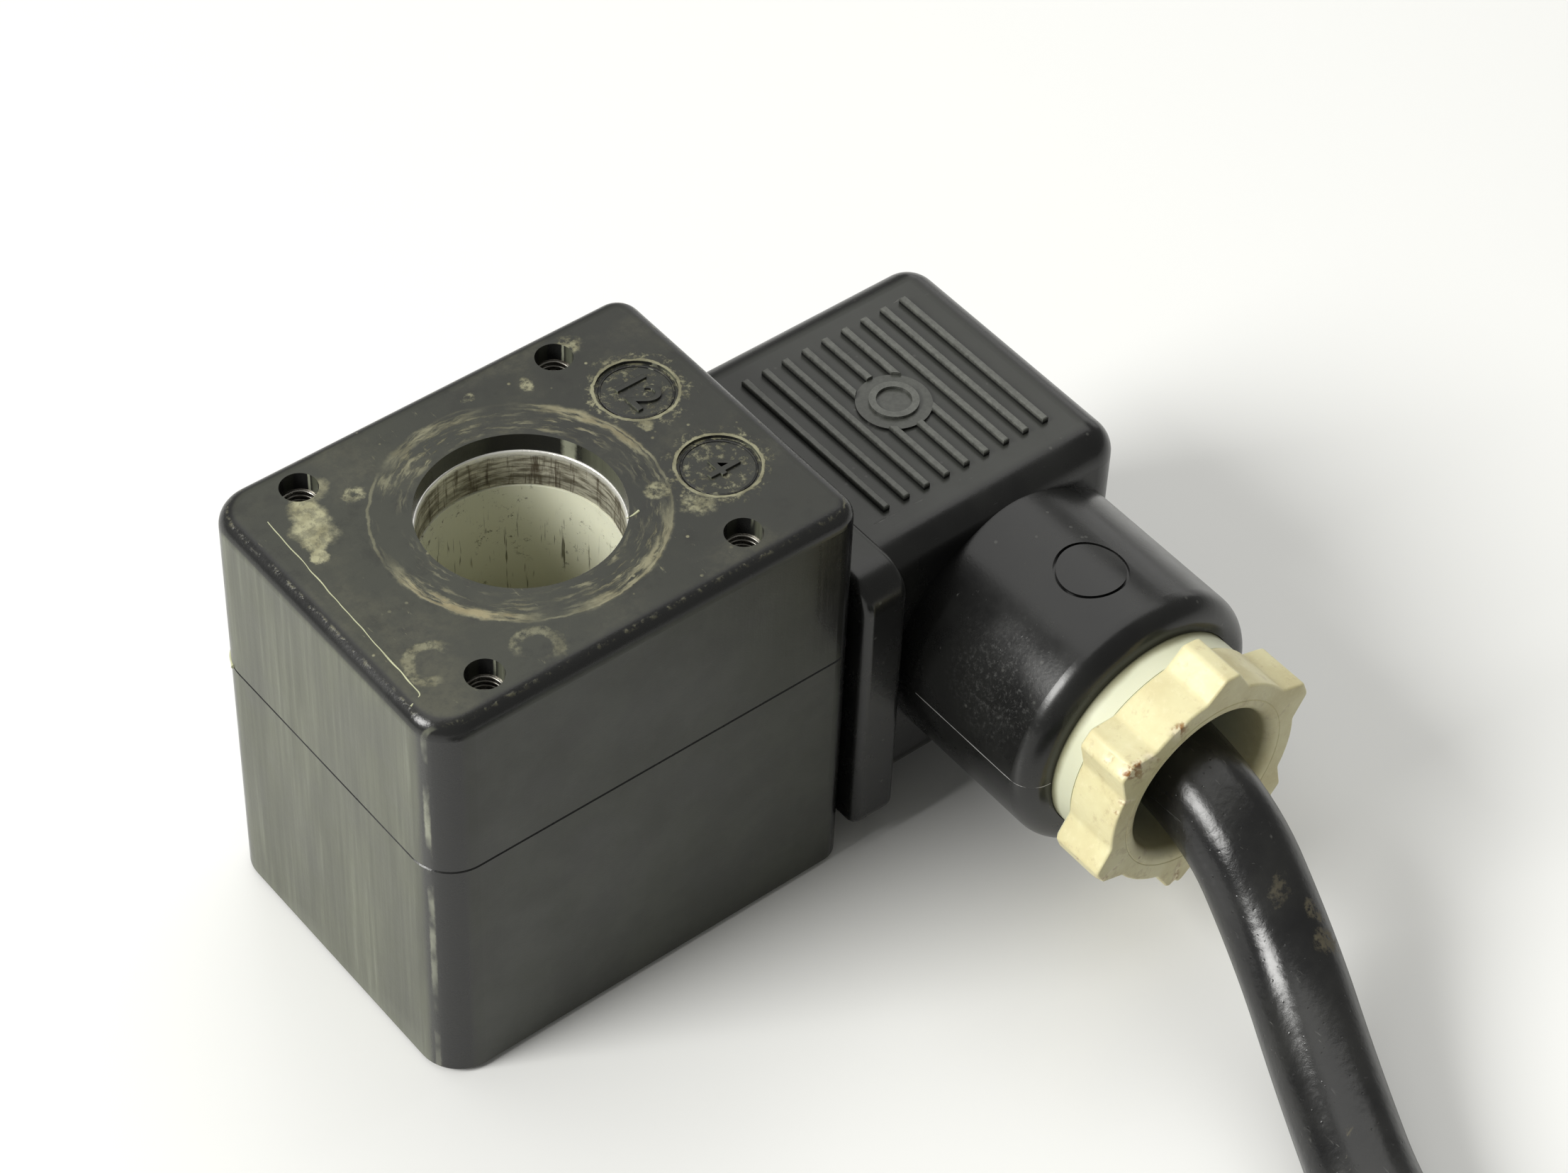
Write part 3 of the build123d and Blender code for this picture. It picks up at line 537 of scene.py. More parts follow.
def bush_surface():
    """Steel ring: scored round its wall, rusty in drips, and bright along its lip, where worn bare steel
    carries a painted highlight.
    """
    s = Surface("bush_steel", (0.6, 0.58, 0.5), 0.35, 0.55)
    x, y, z = s.split(s.place)
    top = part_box("pole_bush")[1].z
    turn = s.math("ARCTAN2", y, x)
    across, along = s.math("COSINE", turn), s.math("SINE", turn)
    scores = s.noise(1, s.joined(s.times(across, 3), s.times(along, 3), s.times(z, 2600)),
                     detail=5, roughness=0.7)
    drips = s.noise(1, s.joined(s.times(across, 13), s.times(along, 13), s.times(z, 130)),
                    detail=4, roughness=0.75)
    rust = s.fade(drips, 0.5, 0.64)
    ragged = s.times(s.noise(900, detail=3), 0.5 * MM)
    # bright lip: worn bare steel with a painted highlight
    lip = s.fade(s.add(z, ragged), top - 0.35 * MM, top + 0.02 * MM)
    base = s.mixed(s.fade(scores, 0.36, 0.62), (0.17, 0.155, 0.115), (0.60, 0.58, 0.48))
    base = s.mixed(s.times(rust, 0.8), base, (0.07, 0.05, 0.03))
    s.colour(s.mixed(lip, base, (0.90, 0.89, 0.84)))
    s.roughness(s.fade(lip, 0, 1, 0.48, 0.24))
    s.bumps((scores, 0.05 * MM), (drips, 0.05 * MM))
    return s.material


def metal_surface(name, colour, dull, roughness, grain, streak=(1, 1, 1)):
    """Machined or plated metal, darkened and roughened in patches."""
    s = Surface(name, colour, roughness, 1.0)
    cloud = s.noise(340, detail=5, roughness=0.65)
    lines = s.noise(1, s.stretched(*(grain * v for v in streak)), detail=3, roughness=0.7)
    tarnish = s.fade(cloud, 0.45, 0.68)
    s.colour(s.mixed(tarnish, colour, dull))
    s.roughness(s.add(s.fade(lines, 0.3, 0.7, roughness - 0.08, roughness + 0.08),
                      s.times(tarnish, 0.2)))
    s.bumps((lines, 0.006 * MM), (cloud, 0.02 * MM))
    return s.material


def rubber_surface(name, colour, pale, roughness):
    """Dark rubber or PVC with pale scuffs and grime."""
    s = Surface(name, colour, roughness)
    cloud = s.noise(180, detail=4)
    fine = s.noise(1500, detail=5, roughness=0.75)
    scuff = s.times(s.fade(fine, 0.6, 0.7), s.fade(s.noise(120, detail=2), 0.52, 0.66))
    s.colour(s.mixed(s.times(scuff, 0.5), s.mixed(cloud, colour, tuple(1.7 * c for c in colour)), pale))
    s.roughness(s.add(s.fade(cloud, 0.3, 0.7, roughness - 0.07, roughness + 0.07),
                      s.times(scuff, 0.25)))
    s.bumps((fine, 0.012 * MM), (s.noise(600), 0.03 * MM))
    return s.material


def jacket_surface():
    """Cable jacket: satin black, faint cross wrinkles, hairline scratches and grime."""
    s = Surface("cable_jacket", (0.02, 0.02, 0.02), 0.36)
    cloud = s.noise(110, detail=4)
    fine = s.noise(2400, detail=5, roughness=0.75)
    along = s.noise(1, s.stretched(1700, 260, 1700), detail=3, roughness=0.7)
    scratch = s.times(s.fade(along, 0.64, 0.72), s.fade(s.noise(150), 0.46, 0.58))
    grime = s.times(s.fade(s.noise(520, detail=5, roughness=0.7, distortion=0.6), 0.6, 0.72),
                    s.fade(s.noise(75, detail=1), 0.52, 0.62))
    pits = s.fade(s.cells(1300), 0.16, 0.05)
    base = s.mixed(s.fade(cloud, 0.35, 0.65), (0.010, 0.010, 0.0105), (0.021, 0.021, 0.020))
    base = s.mixed(s.times(scratch, 0.45), base, (0.16, 0.16, 0.15))
    dried = patches(s, DRIED_ON_CABLE, jitter(s, 700, 3 * MM, detail=5, roughness=0.7))
    grime = s.most(grime, s.times(dried, s.fade(s.noise(1300, detail=5, roughness=0.7), 0.4, 0.56)))
    s.colour(s.mixed(s.times(grime, 0.5), base, (0.17, 0.145, 0.085)))
    s.roughness(s.add(s.fade(cloud, 0.3, 0.7, 0.14, 0.22), s.times(fine, 0.1), s.times(grime, 0.4)))
    s.bumps((s.noise(420, detail=2), 0.05 * MM), (s.noise(1700, detail=2), 0.016 * MM),
            (fine, 0.012 * MM), (pits, -0.012 * MM))
    return s.material


def plain_plastic(name, colour, roughness=0.4):
    """Small moulded or extruded part with slight mottling."""
    s = Surface(name, colour, roughness)
    cloud = s.noise(420, detail=4)
    s.colour(s.mixed(s.fade(cloud, 0.35, 0.7), colour, tuple(0.72 * c for c in colour)))
    s.roughness(s.fade(cloud, 0.3, 0.7, roughness - 0.06, roughness + 0.08))
    s.bumps((s.noise(2600), 0.01 * MM),)
    return s.material


def winding_surface():
    """Enamelled wire: fine turns stacked along the bore, with painted shade in the grooves between them."""
    s = Surface("winding_wire", (0.60, 0.24, 0.10), 0.28, 0.9)
    z = s.split(s.place)[2]
    turns = s.math("ABSOLUTE", s.math("SINE", s.times(z, 2 * pi / (0.5 * MM))))
    # painted shade: the grooves between the turns painted darker
    s.colour(s.mixed(turns, (0.22, 0.07, 0.03), (0.62, 0.26, 0.11)))
    s.bumps((turns, 0.12 * MM), (s.noise(900), 0.02 * MM))
    return s.material


def floor_surface():
    s = Surface("floor", (0.86, 0.862, 0.85), 0.3)
    s.roughness(s.fade(s.noise(30, detail=1), 0.3, 0.7, 0.28, 0.32))
    return s.material


SURFACES = {
    "case": case_surface(),
    "plug": plug_surface(),
    "cream": nut_surface(),
    "bobbin": bobbin_surface(),
    "copper": winding_surface(),
    "tape": plain_plastic("winding_tape", (0.72, 0.62, 0.26), 0.3),
    "steel": metal_surface("zinc_steel", (0.62, 0.60, 0.56), (0.16, 0.14, 0.12), 0.28, 900),
    "brass": metal_surface("brass", (0.80, 0.58, 0.26), (0.42, 0.27, 0.12), 0.24, 1200),
    "tinned": metal_surface("tinned", (0.80, 0.79, 0.76), (0.50, 0.48, 0.44), 0.2, 900, (1, 4, 1)),
    "screw": metal_surface("zinc_screw", (0.72, 0.72, 0.70), (0.36, 0.34, 0.30), 0.24, 1400),
    "black_rubber": rubber_surface("black_rubber", (0.014, 0.014, 0.014), (0.12, 0.12, 0.11), 0.62),
    "nylon": plain_plastic("nylon", (0.72, 0.72, 0.64), 0.45),
    "jacket": jacket_surface(),
    "core_brown": plain_plastic("core_brown", (0.13, 0.045, 0.018)),
    "core_blue": plain_plastic("core_blue", (0.02, 0.09, 0.36)),
    "core_green": plain_plastic("core_green", (0.09, 0.33, 0.04)),
    "tie": plain_plastic("tie_nylon", (0.02, 0.02, 0.021), 0.35),
}

FLASH_SURFACE = plain_plastic("mould_flash", (0.50, 0.51, 0.33), 0.5)
SEAM_SURFACE = plain_plastic("hub_seam", (0.36, 0.36, 0.35), 0.35)
THREAD_SURFACE = metal_surface("thread_steel", (0.30, 0.29, 0.26), (0.07, 0.06, 0.05), 0.3, 900)


def paint(piece, slot, surface=None):
    """Gives a piece the surface of its record slot, or the surface passed in."""
    piece.data.materials.clear()
    piece.data.materials.append(surface or SURFACES[slot])


for subpart in frame["record"]["subparts"]:
    paint(frame["nodes"][subpart["node"]], subpart["material_slot"])
paint(cable, "jacket")

# ---------------------------------------------------------------- mesh tools
SHARP = radians(32)


def piece_from(bm, name, slot, body):
    """Turns a bmesh into a shaded piece that rides on a body."""
    bmesh.ops.remove_doubles(bm, verts=bm.verts, dist=1e-7)
    bmesh.ops.recalc_face_normals(bm, faces=bm.faces)
    for face in bm.faces:
        face.smooth = True
    for edge in bm.edges:
        edge.smooth = not (edge.is_manifold and edge.calc_face_angle(0) > SHARP)
    mesh = bpy.data.meshes.new(name)
    bm.to_mesh(mesh)
    bm.free()
    piece = bpy.data.objects.new(name, mesh)
    SCENE.collection.objects.link(piece)
    paint(piece, slot)
    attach(piece, body)
    return piece


def loft(bm, rings, closed_round=True, closed_along=True):
    """Skins rings of equally many points."""
    made = [[bm.verts.new(p) for p in points] for points in rings]
    count = len(made[0])
    pairs = list(zip(made, made[1:])) + ([(made[-1], made[0])] if closed_along else [])
    for a, b in pairs:
        for i in range(count if closed_round else count - 1):
            j = (i + 1) % count
            bm.faces.new((a[i], a[j], b[j], b[i]))
    return made


def bend_arc(centre, radius, a0, a1, steps):
    """Points on an arc in a plane, as (u, v) pairs, angles in degrees."""
    angles = [radians(a0 + (a1 - a0) * i / steps) for i in range(steps + 1)]
    return [(centre[0] + radius * cos(a), centre[1] + radius * sin(a)) for a in angles]


# ---------------------------------------------------------------- gland nut
NUT_HEAD = 5.1 * MM
NUT_BORE = 7.04 * MM
NUT_COLLAR = 9.62 * MM
NUT_SHANK = 9.25 * MM
NUT_SHOULDER = 4.0 * MM
NUT_LENGTH = 13.3 * MM
NUT_ROOT = 9.8 * MM
NUT_TIP = 11.5 * MM
NUT_TURN = 21.5
NUT_TOP_HALF = 3.8
NUT_ROOT_HALF = 13.8
NUT_LIP = 0.9 * MM
NUT_EDGE = 0.26 * MM
NUT_CORNER = 0.28 * MM
CHIP_DEPTH = 0.28 * MM
# angle round the axis, distance back from the front face, radius of each chip
CHIPS = [(140, 0.2, 0.6), (136, 0.1, 0.4), (131, 0.1, 0.35), (115, 0.1, 0.55), (111, 0.15, 0.4),
         (157, 0.2, 0.3), (164, 0.25, 0.25), (204, 0.3, 0.4), (200, 2.6, 0.25), (141, 2.2, 0.35),
         (262, 0.2, 0.4), (22, 3.4, 0.35)]


def nut_outline():
    """Six flat-topped lobes with rounded corners, round the nut's axis."""
    corners = []
    for i in range(6):
        middle = NUT_TURN + 60 * i
        for offset, r in ((-NUT_ROOT_HALF, NUT_ROOT), (-NUT_TOP_HALF, NUT_TIP),
                          (NUT_TOP_HALF, NUT_TIP), (NUT_ROOT_HALF, NUT_ROOT)):
            corners.append((radians(middle + offset), r, NUT_CORNER))
        valley = 60 - 2 * NUT_ROOT_HALF
        for step in range(1, 8):
            corners.append((radians(middle + NUT_ROOT_HALF + valley * step / 8), NUT_ROOT, 0))
    points = [Vector((r * cos(a), r * sin(a))) for a, r, _ in corners]
    outline = []
    for i, point in enumerate(points):
        cut = corners[i][2]
        if not cut:
            outline.append(point)
            continue
        before = point + (points[i - 1] - point).normalized() * cut
        after = point + (points[(i + 1) % len(points)] - point).normalized() * cut
        for t in (0, 0.25, 0.5, 0.75, 1):
            outline.append(before * (1 - t) ** 2 + point * 2 * t * (1 - t) + after * t * t)
    return subdivided(outline, 0.35 * MM)


def subdivided(outline, longest):
    points = []
    for a, b in zip(outline, outline[1:] + outline[:1]):
        parts = max(1, round((b - a).length / longest))
        points += [a.lerp(b, i / parts) for i in range(parts)]
    return points


def nut_profile():
    """(depth behind the front face, radius or None for the lobed outline, inset)."""
    lip = [(NUT_LIP - NUT_LIP * sin(radians(a)), NUT_BORE + NUT_LIP * (1 - cos(radians(a))), 0)
           for a in range(0, 91, 10)]
    edge = [(NUT_EDGE * (1 - sin(radians(a))), None, NUT_EDGE * (1 - cos(radians(a))))
            for a in range(90, -1, -15)]
    side = [(NUT_EDGE + (NUT_HEAD - 2 * NUT_EDGE) * i / 12, None, 0) for i in range(1, 13)]
    back = [(NUT_HEAD - 0.2 * MM, None, 0.02 * MM), (NUT_HEAD, None, 0.25 * MM),
            (NUT_HEAD, NUT_COLLAR + 0.02 * MM, 0), (NUT_HEAD + 0.15 * MM, NUT_COLLAR, 0)]
    collar = [(NUT_HEAD + NUT_SHOULDER * i / 6, NUT_COLLAR, 0) for i in range(2, 7)]
    shank = [(NUT_HEAD + NUT_SHOULDER, NUT_SHANK, 0), (NUT_LENGTH - 0.3 * MM, NUT_SHANK, 0),
             (NUT_LENGTH, NUT_SHANK - 0.3 * MM, 0), (NUT_LENGTH, NUT_BORE + 0.1 * MM, 0),
             (NUT_LENGTH - 0.1 * MM, NUT_BORE, 0)]
    bore = [(NUT_LENGTH - 4 * MM, NUT_BORE, 0), (NUT_LENGTH - 8 * MM, NUT_BORE, 0)]
    groove = [(0, 8.15 * MM, 0), (0.05 * MM, 8.22 * MM, 0), (0, 8.3 * MM, 0)]
    return lip + groove + edge + side + back + collar + shank + bore


def make_nut():
    lo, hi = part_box("gland_nut")
    x, z = (lo.x + hi.x) / 2, (lo.z + hi.z) / 2
    outline = nut_outline()
    rings = []
    for depth, radius, inset in nut_profile():
        points = []
        for p in outline:
            u = p * ((radius / p.length) if radius else (1 - inset / p.length))
            points.append(Vector((x + u.x, lo.y + depth, z + u.y)))
        rings.append(points)
    bm = bmesh.new()
    bm.verts.layers.float.new("wear")
    bm.verts.layers.float.new("clean")
    wear, clean = (bm.verts.layers.float[name] for name in ("wear", "clean"))
    made = loft(bm, rings)
    for points, (depth, radius, inset) in zip(made, nut_profile()):
        for v in points:
            v[clean] = 1.0 if depth > NUT_HEAD - 0.1 * MM else 0.0
            out = Vector((v.co.x - x, 0, v.co.z - z))
            grain = noise.noise(v.co * 900)
            for angle, back, size in CHIPS:
                a = radians(angle)
                at = Vector((x, lo.y + back * MM, z)) + Vector((cos(a), 0, sin(a))) * out.length
                near = 1 - (v.co - at).length / (size * MM * (1 + 0.5 * grain))
                if near > 0 and out.length > NUT_ROOT - 0.6 * MM and depth < NUT_HEAD:
                    v[wear] = max(v[wear], min(1.0, near * 3))
                    v.co -= out.normalized() * near * CHIP_DEPTH
                    v.co.y += near * 0.15 * MM
    nut = piece_from(bm, "gland_nut_cream", "cream", "nut")
    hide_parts("gland_nut")


make_nut()

# ---------------------------------------------------------------- bore bush
BUSH_SLIT = radians(197)
BUSH_SLIT_HALF = radians(4)
BUSH_WALL = 0.9 * MM
BUSH_LIP = 0.16 * MM
BUSH_STEPS = 140


def make_bush():
    """Rolled steel ring with a rounded, slightly burred lip and an open slit."""
    lo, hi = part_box("pole_bush")
    outer = (hi.x - lo.x) / 2
    inner = outer - BUSH_WALL
    profile = [(inner, lo.z + 0.15 * MM), (inner, lo.z + 1.2 * MM), (inner - 0.03 * MM, lo.z + 1.3 * MM),
               (inner, lo.z + 1.45 * MM), (inner, hi.z - BUSH_LIP)]
    profile += bend_arc((inner + BUSH_LIP, hi.z - BUSH_LIP), BUSH_LIP, 180, 90, 4)[1:]
    profile += [(outer, hi.z), (outer, lo.z), (inner + 0.15 * MM, lo.z)]
    rings = []
    for i in range(BUSH_STEPS + 1):
        a = BUSH_SLIT + BUSH_SLIT_HALF + (2 * pi - 2 * BUSH_SLIT_HALF) * i / BUSH_STEPS
        points = []
        for r, z in profile:
            burr = 0.05 * MM * noise.noise(Vector((cos(a) * 9, sin(a) * 9, z * 400)))
            r = r + (burr if r < outer - 1e-6 else 0)
            points.append((r * cos(a), r * sin(a), z))
        rings.append(points)
    bm = bmesh.new()
    made = loft(bm, rings, closed_round=True, closed_along=False)
    bm.faces.new(made[0])
    bm.faces.new(list(reversed(made[-1])))
    bush = piece_from(bm, "pole_bush_steel", "steel", "coil")
    paint(bush, "steel", bush_surface())
    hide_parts("pole_bush")


make_bush()

# ---------------------------------------------------------------- screw threads
HOLE_HALF = 12.075 * MM
HOLE_R = 1.55 * MM
THREAD_PITCH = 0.5 * MM
THREAD_RIDGE = 0.17 * MM
THREAD_STOP = 0.12 * MM
THREAD_STEPS = 12


def make_threads():
    """The wound ridge of the thread in each of the pole plate's four holes."""
    lo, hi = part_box("pole_plate")
    steps = int((hi.z - lo.z) / THREAD_PITCH * THREAD_STEPS)
    rise = (hi.z - lo.z - 2 * THREAD_STOP) / steps
    for i, (x, y) in enumerate((sx, sy) for sx in (-1, 1) for sy in (-1, 1)):
        points = []
        for k in range(steps + 1):
            a = 2 * pi * k / THREAD_STEPS
            z = lo.z + THREAD_STOP + rise * k
            points.append((x * HOLE_HALF + HOLE_R * cos(a), y * HOLE_HALF + HOLE_R * sin(a), z))
        ridge = nurbs(f"screw_thread_{i + 1}", points, THREAD_RIDGE)
        ridge.data.bevel_resolution = 2
        ridge.data.resolution_u = 3
        paint(ridge, "steel", THREAD_SURFACE)
        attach(ridge, "coil")


make_threads()

# ---------------------------------------------------------------- dials on the case
DIALS = {"dial_left": (DIAL_Y * MM, "12"), "dial_right": (-DIAL_Y * MM, "4")}
DIAL_FLOOR = 0.3 * MM
DIAL_RIM_R = 2.95 * MM
DIAL_RIM_T = 0.11 * MM
NUMBER_SIZE = 4.0 * MM


def make_dials():
    """Raised generic numbers and a thin raised rim in each round recess."""
    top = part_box("case_upper")[1].z
    for name, (y, number) in DIALS.items():
        text = bpy.data.curves.new(name, "FONT")
        text.body = number
        text.size = NUMBER_SIZE
        text.align_x = text.align_y = "CENTER"
        text.extrude = 0.11 * MM
        text.offset = 0.02 * MM
        text.bevel_depth = 0.03 * MM
        text.bevel_resolution = 2
        holder = bpy.data.objects.new(name + "_text", text)
        SCENE.collection.objects.link(holder)
        bpy.context.view_layer.update()
        shown = holder.evaluated_get(bpy.context.evaluated_depsgraph_get())
        shape = bpy.data.meshes.new_from_object(shown)
        bpy.data.objects.remove(holder)
        shape.transform(Matrix.Translation((DIAL_X * MM, y, top - DIAL_FLOOR + 0.08 * MM))
                        @ Matrix.Rotation(-pi / 2, 4, "Z"))
        bm = bmesh.new()
        bm.from_mesh(shape)
        bpy.data.meshes.remove(shape)
        rim(bm, Vector((DIAL_X * MM, y, top - DIAL_FLOOR)), DIAL_RIM_R, DIAL_RIM_T)
        piece_from(bm, name, "case", "coil")


def rim(bm, centre, radius, thick):
    """A small half-round ring that stands on a level face."""
    rings = []
    for i in range(96):
        a = 2 * pi * i / 96
        points = []
        for u, v in bend_arc((0, 0), thick, 0, 315, 7):
            r = radius + u
            points.append(centre + Vector((r * cos(a), r * sin(a), v)))
        rings.append(points)
    loft(bm, rings)


make_dials()

# ---------------------------------------------------------------- flash and witness lines
def flash(name, points, width, slot, body, seed, surface=FLASH_SURFACE):
    """A thin ragged line of flash left by a mould's parting face, wider towards its end."""
    draw = Random(seed)
    widths = [draw.uniform(0.5, 1.2) * (0.6 + 0.6 * i / len(points)) for i in range(len(points))]
    line = nurbs(name, points, width, widths)
    line.data.bevel_resolution = 2
    paint(line, slot, surface)
    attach(line, body)


def between(a, b, steps, wander, seed):
    """Points from a to b that stray sideways a little."""
    draw = Random(seed)
    a, b = Vector(a), Vector(b)
    side = (b - a).cross(Vector((0, 0, 1))).normalized()
    return [a.lerp(b, i / steps) + side * draw.uniform(-wander, wander) for i in range(steps + 1)]


TOP_FLASH = ((-16.05 * MM, 10.4 * MM), (-16.95 * MM, -10.9 * MM), (-18.1 * MM, -11.3 * MM))
BORE_BURR = ((5.95 * MM, -5.5 * MM, -0.1 * MM), (6.4 * MM, -5.65 * MM, 0), (7.1 * MM, -5.5 * MM, 0))
CASE_CORNER_R = 3.6 * MM
CASE_CORNER_Y = 11.8 * MM
HUB_R = 12.2 * MM
HUB_LIP_R = 2.2 * MM
HUB_SEAM_Y = (-16.6, -19, -21.5, -24, -26.5, -28)


def make_case_flash():
    left, _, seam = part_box("case_upper")[0]
    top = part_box("case_upper")[1].z
    start, bend, end = TOP_FLASH
    run = between((*start, top), (*bend, top), 24, 0.06 * MM, 3)
    tip = between((*bend, top), (*end, top - 0.18 * MM), 3, 0, 4)
    flash("case_flash_top", run + tip[1:], 0.07 * MM, "case", "coil", 5)
    burr = [(x, y, top + above) for x, y, above in BORE_BURR]
    flash("case_bore_burr", burr, 0.13 * MM, "case", "coil", 7)
    nub = [(left + CASE_CORNER_R * (1 + cos(a)), CASE_CORNER_Y + CASE_CORNER_R * sin(a), seam)
           for a in (radians(d) for d in range(136, 172, 6))]
    flash("case_flash_seam", nub, 0.2 * MM, "case", "coil", 6)


def make_hub_flash():
    low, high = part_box("plug_housing")
    z = (low.z + high.z) / 2
    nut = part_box("gland_nut")
    x = (nut[0].x + nut[1].x) / 2 - HUB_R
    side = [(x, y * MM, z) for y in HUB_SEAM_Y]
    corner = [(x + HUB_LIP_R * (1 - cos(a)), low.y + HUB_LIP_R * (1 - sin(a)), z)
              for a in (radians(d) for d in (20, 45, 70, 90))]
    end = [(x + HUB_LIP_R + 0.15 * MM, low.y, z)]
    flash("hub_flash", side + corner + end, 0.06 * MM, "plug", "plug", 8, SEAM_SURFACE)


make_case_flash()
make_hub_flash()

# ---------------------------------------------------------------- cable end and tie
CORE_R = 1.25 * MM
# slot, how far a core lies from the middle of the turns, and how far it sinks between them
TAILS = {"tail_line": ("core_brown", -2.7 * MM, -0.1 * MM),
         "tail_return": ("core_blue", 0, -1.1 * MM),
         "tail_earth": ("core_green", 2.7 * MM, -0.1 * MM)}
# angle round the coil, and share of the distance from the middle
TAIL_STATIONS = [(76, 0.45), (72, 0.45), (66, 0.6), (59, 0.9), (50, 1), (41, 1.05), (32, 0.98), (26, 1)]
# distance past the core's end and radius, in millimetres
FERRULE = [(-1.6, 1.3), (-1.6, 1.55), (-1.2, 1.7), (1.6, 1.5), (2.2, 1.0), (2.2, 0.72), (9.2, 0.72),
           (9.6, 0.85), (9.6, 0.4)]
FERRULE_COLLAR = 2.2
FERRULE_CRIMP = (3.2, 8.4)
FERRULE_SQUEEZE = 0.82
TIE_T = 0.6 * MM
TIE_W = 4.8 * MM
TIE_HEAD = (3.2 * MM, 6.4 * MM, 4.6 * MM)
TIE_ANGLE = radians(150)


def make_tails():
    """Three stripped cores that lie in the groove between the coil's lower turns."""
    centre, _, _, middle, low, high = coil_measures()
    leaves = high - 0.4 * MM
    pieces = []
    for name, (slot, aside, sink) in TAILS.items():
        rests = low + CABLE_D / 2 + CORE_R + sink
        points = []
        for angle, spread in TAIL_STATIONS:
            a = radians(angle)
            r = middle + aside * spread
            z = eased(angle, [(90, leaves), (71, leaves), (50, rests), (0, rests)])
            points.append((centre.x + r * cos(a), centre.y + r * sin(a), z))
        core = nurbs(name + "_core", points, CORE_R)
        paint(core, slot)
        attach(core, "plug")
        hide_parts(name)
        pieces += [core, make_ferrule(name, points, slot)]
    return pieces


def make_ferrule(name, points, slot):
    """A flared plastic collar and a crimped tin tube on the end of a core."""
    end = Vector(points[-1])
    along = (end - Vector(points[-2])).normalized()
    side = along.cross(Vector((0, 0, 1))).normalized()
    up = side.cross(along)
    rings = []
    for t, r in fine_profile(FERRULE):
        points = []
        crimped = FERRULE_CRIMP[0] < t < FERRULE_CRIMP[1] and int(t * 1.6) % 2
        crimp = FERRULE_SQUEEZE if crimped else 1.0
        for k in range(20):
            a = 2 * pi * k / 20
            squeeze = crimp if abs(sin(a)) > 0.6 else 1.0
            points.append(end + along * t * MM + (side * cos(a) + up * sin(a) * squeeze) * r * MM)
        rings.append(points)
    bm = bmesh.new()
    made = loft(bm, rings, closed_along=False)
    bm.faces.new(made[0])
    bm.faces.new(list(reversed(made[-1])))
    ferrule = piece_from(bm, name + "_ferrule", "tinned", "plug")
    ferrule.data.materials.append(SURFACES[slot])
    for face in ferrule.data.polygons:
        face.material_index = 1 if (face.center - end).dot(along) < FERRULE_COLLAR * MM else 0
    return ferrule


def fine_profile(profile):
    points = []
    for (t0, r0), (t1, r1) in zip(profile, profile[1:]):
        parts = max(1, round(abs(t1 - t0) / 0.3))
        points += [(t0 + (t1 - t0) * i / parts, r0 + (r1 - r0) * i / parts) for i in range(parts)]
    return points + [profile[-1]]


def tie_path(offset):
    """(radius, height) pairs round the three turns' section, that far off their skin."""
    _, outer, inner, middle, low, high = coil_measures()
    reach = CABLE_D / 2 + offset
    lean = 180 * atan2(high - low, outer - middle) / pi
    path = bend_arc((outer, low), reach, -90, 90 - lean, 10)
    path += bend_arc((middle, high), reach, 90 - lean, 90 + lean, 14)
    return path + bend_arc((inner, low), reach, 90 + lean, 270, 10)


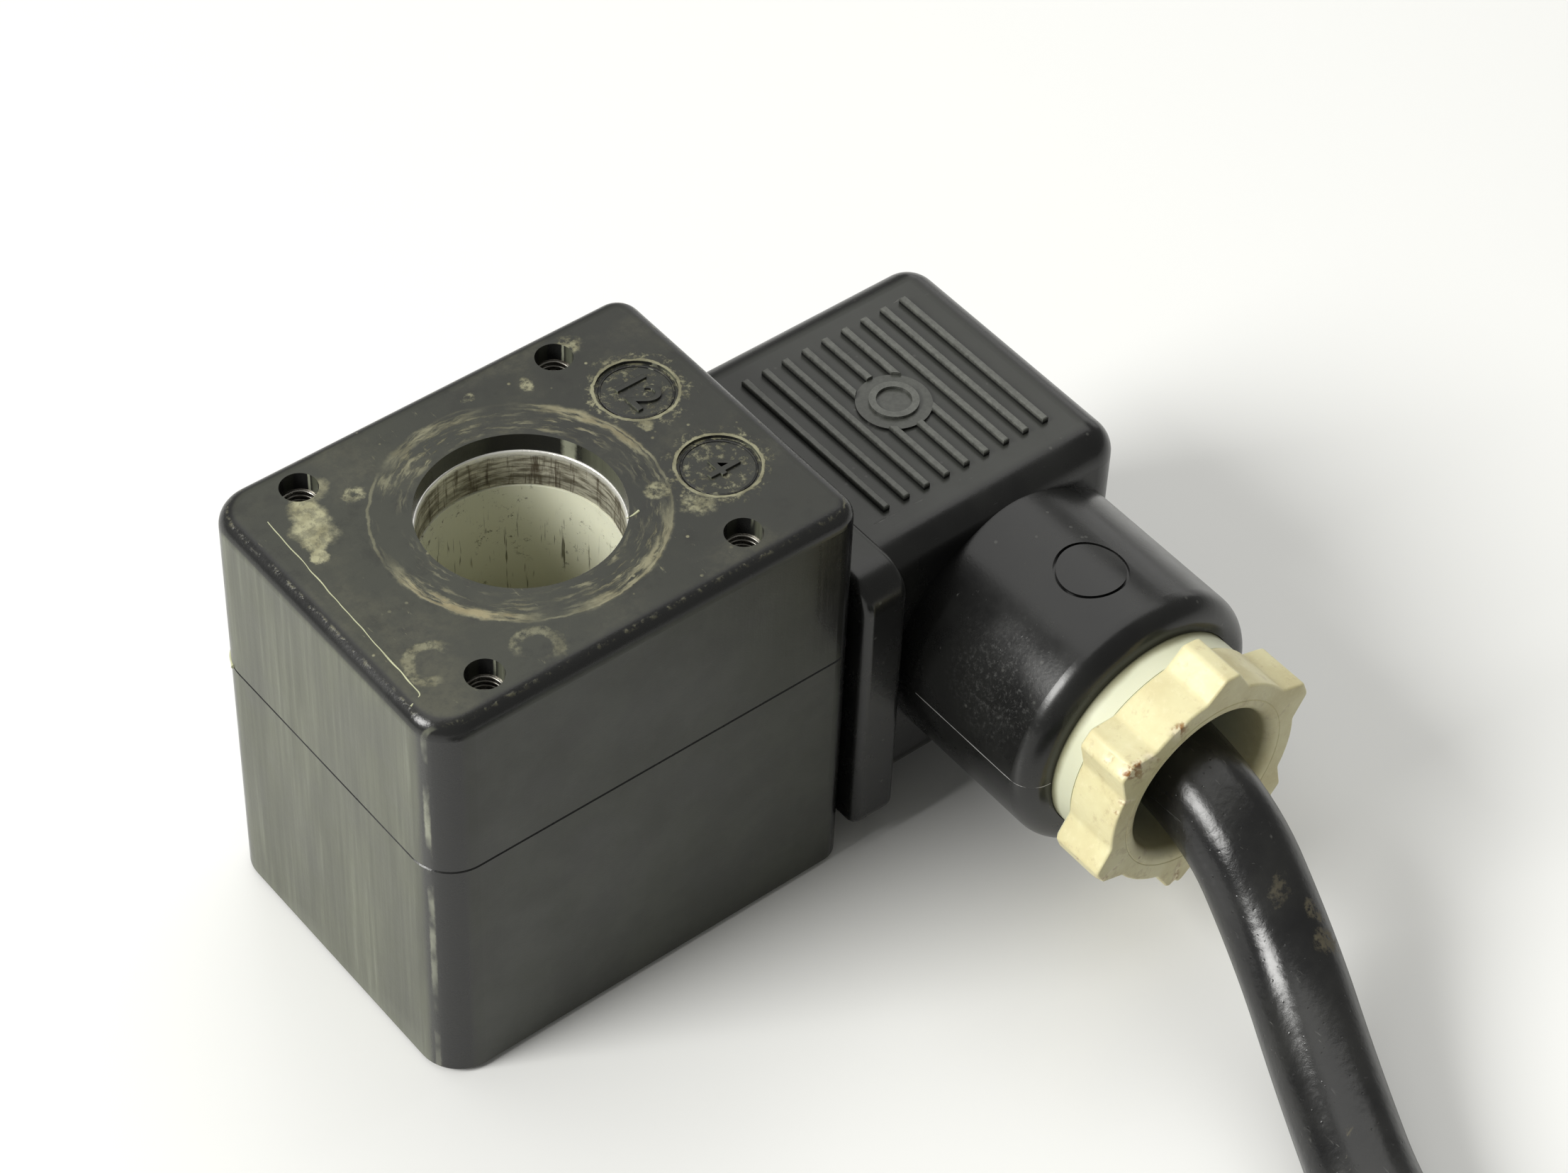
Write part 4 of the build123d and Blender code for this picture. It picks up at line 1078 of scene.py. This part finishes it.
def make_tie():
    """A ribbed nylon tie round the bundle, with its square head outside."""
    centre = coil_measures()[0]
    tangent = Vector((-sin(TIE_ANGLE), cos(TIE_ANGLE), 0))
    out = Vector((cos(TIE_ANGLE), sin(TIE_ANGLE), 0))
    ground = Vector((centre.x, centre.y, 0))
    rings = []
    for a, b in zip(tie_path(0), tie_path(TIE_T)):
        section = []
        for across, (r, z) in ((-0.5, a), (0.5, a), (0.5, b), (0.38, b), (-0.38, b), (-0.5, b)):
            section.append(ground + out * r + Vector((0, 0, z)) + tangent * TIE_W * across)
        rings.append(section)
    bm = bmesh.new()
    loft(bm, rings)
    r, z = tie_path(TIE_T)[3]
    head = bmesh.ops.create_cube(bm, size=1.0)["verts"]
    turn = Matrix((out, tangent, Vector((0, 0, 1)))).transposed().to_4x4()
    size = Matrix.Diagonal((*TIE_HEAD, 1))
    place = ground + out * (r + 0.4 * MM) + Vector((0, 0, z + 2.2 * MM))
    bmesh.ops.transform(bm, matrix=Matrix.Translation(place) @ turn @ size, verts=head)
    edges = {e for v in head for e in v.link_edges}
    bmesh.ops.bevel(bm, geom=list(edges), offset=0.6 * MM, segments=3, affect="EDGES")
    tie = piece_from(bm, "coil_tie_nylon", "tie", "plug")
    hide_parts("coil_tie")
    return tie


end_pieces = make_tails() + [make_tie()]
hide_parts("core_ferrules")

# ---------------------------------------------------------------- stage
FLOOR_SIZE = 3
WORLD_COLOUR = (1.0, 1.0, 0.955, 1)
WORLD_STRENGTH = 0.25
LIGHT_COLOUR = (1, 0.995, 0.97)
# place, target, size and watts
LIGHTS = {
    "window": ((-0.92, 0.2, 0.74), (0.01, -0.01, 0.01), (0.5, 0.5), 15.2),
    "ceiling": ((0.45, 0.6, 1.2), (0.45, 0.6, 0), (1.9, 1.4), 10.8),
    "backdrop": ((1.5, 0.8, 0.42), (0.04, 0, 0.02), (1.2, 0.6), 2),
}


def make_floor():
    bm = bmesh.new()
    bmesh.ops.create_grid(bm, x_segments=1, y_segments=1, size=FLOOR_SIZE)
    mesh = bpy.data.meshes.new("floor")
    bm.to_mesh(mesh)
    bm.free()
    floor = bpy.data.objects.new("floor", mesh)
    floor.data.materials.append(floor_surface())
    SCENE.collection.objects.link(floor)


def area_light(name, place, target, size, power):
    light = bpy.data.lights.new(name, "AREA")
    light.shape = "RECTANGLE"
    light.size, light.size_y = size
    light.energy = power
    light.color = LIGHT_COLOUR
    lamp = bpy.data.objects.new(name, light)
    lamp.location = place
    lamp.rotation_mode = "QUATERNION"
    lamp.rotation_quaternion = (Vector(target) - Vector(place)).to_track_quat("-Z", "Y")
    lamp.visible_camera = False
    SCENE.collection.objects.link(lamp)


def make_lights():
    world = bpy.data.worlds.new("studio")
    world.use_nodes = True
    background = world.node_tree.nodes["Background"]
    background.inputs["Color"].default_value = WORLD_COLOUR
    background.inputs["Strength"].default_value = WORLD_STRENGTH
    SCENE.world = world
    for name, (place, target, size, power) in LIGHTS.items():
        area_light(name, place, target, size, power)


make_floor()
make_lights()
SCENE.view_settings.view_transform = "Standard"
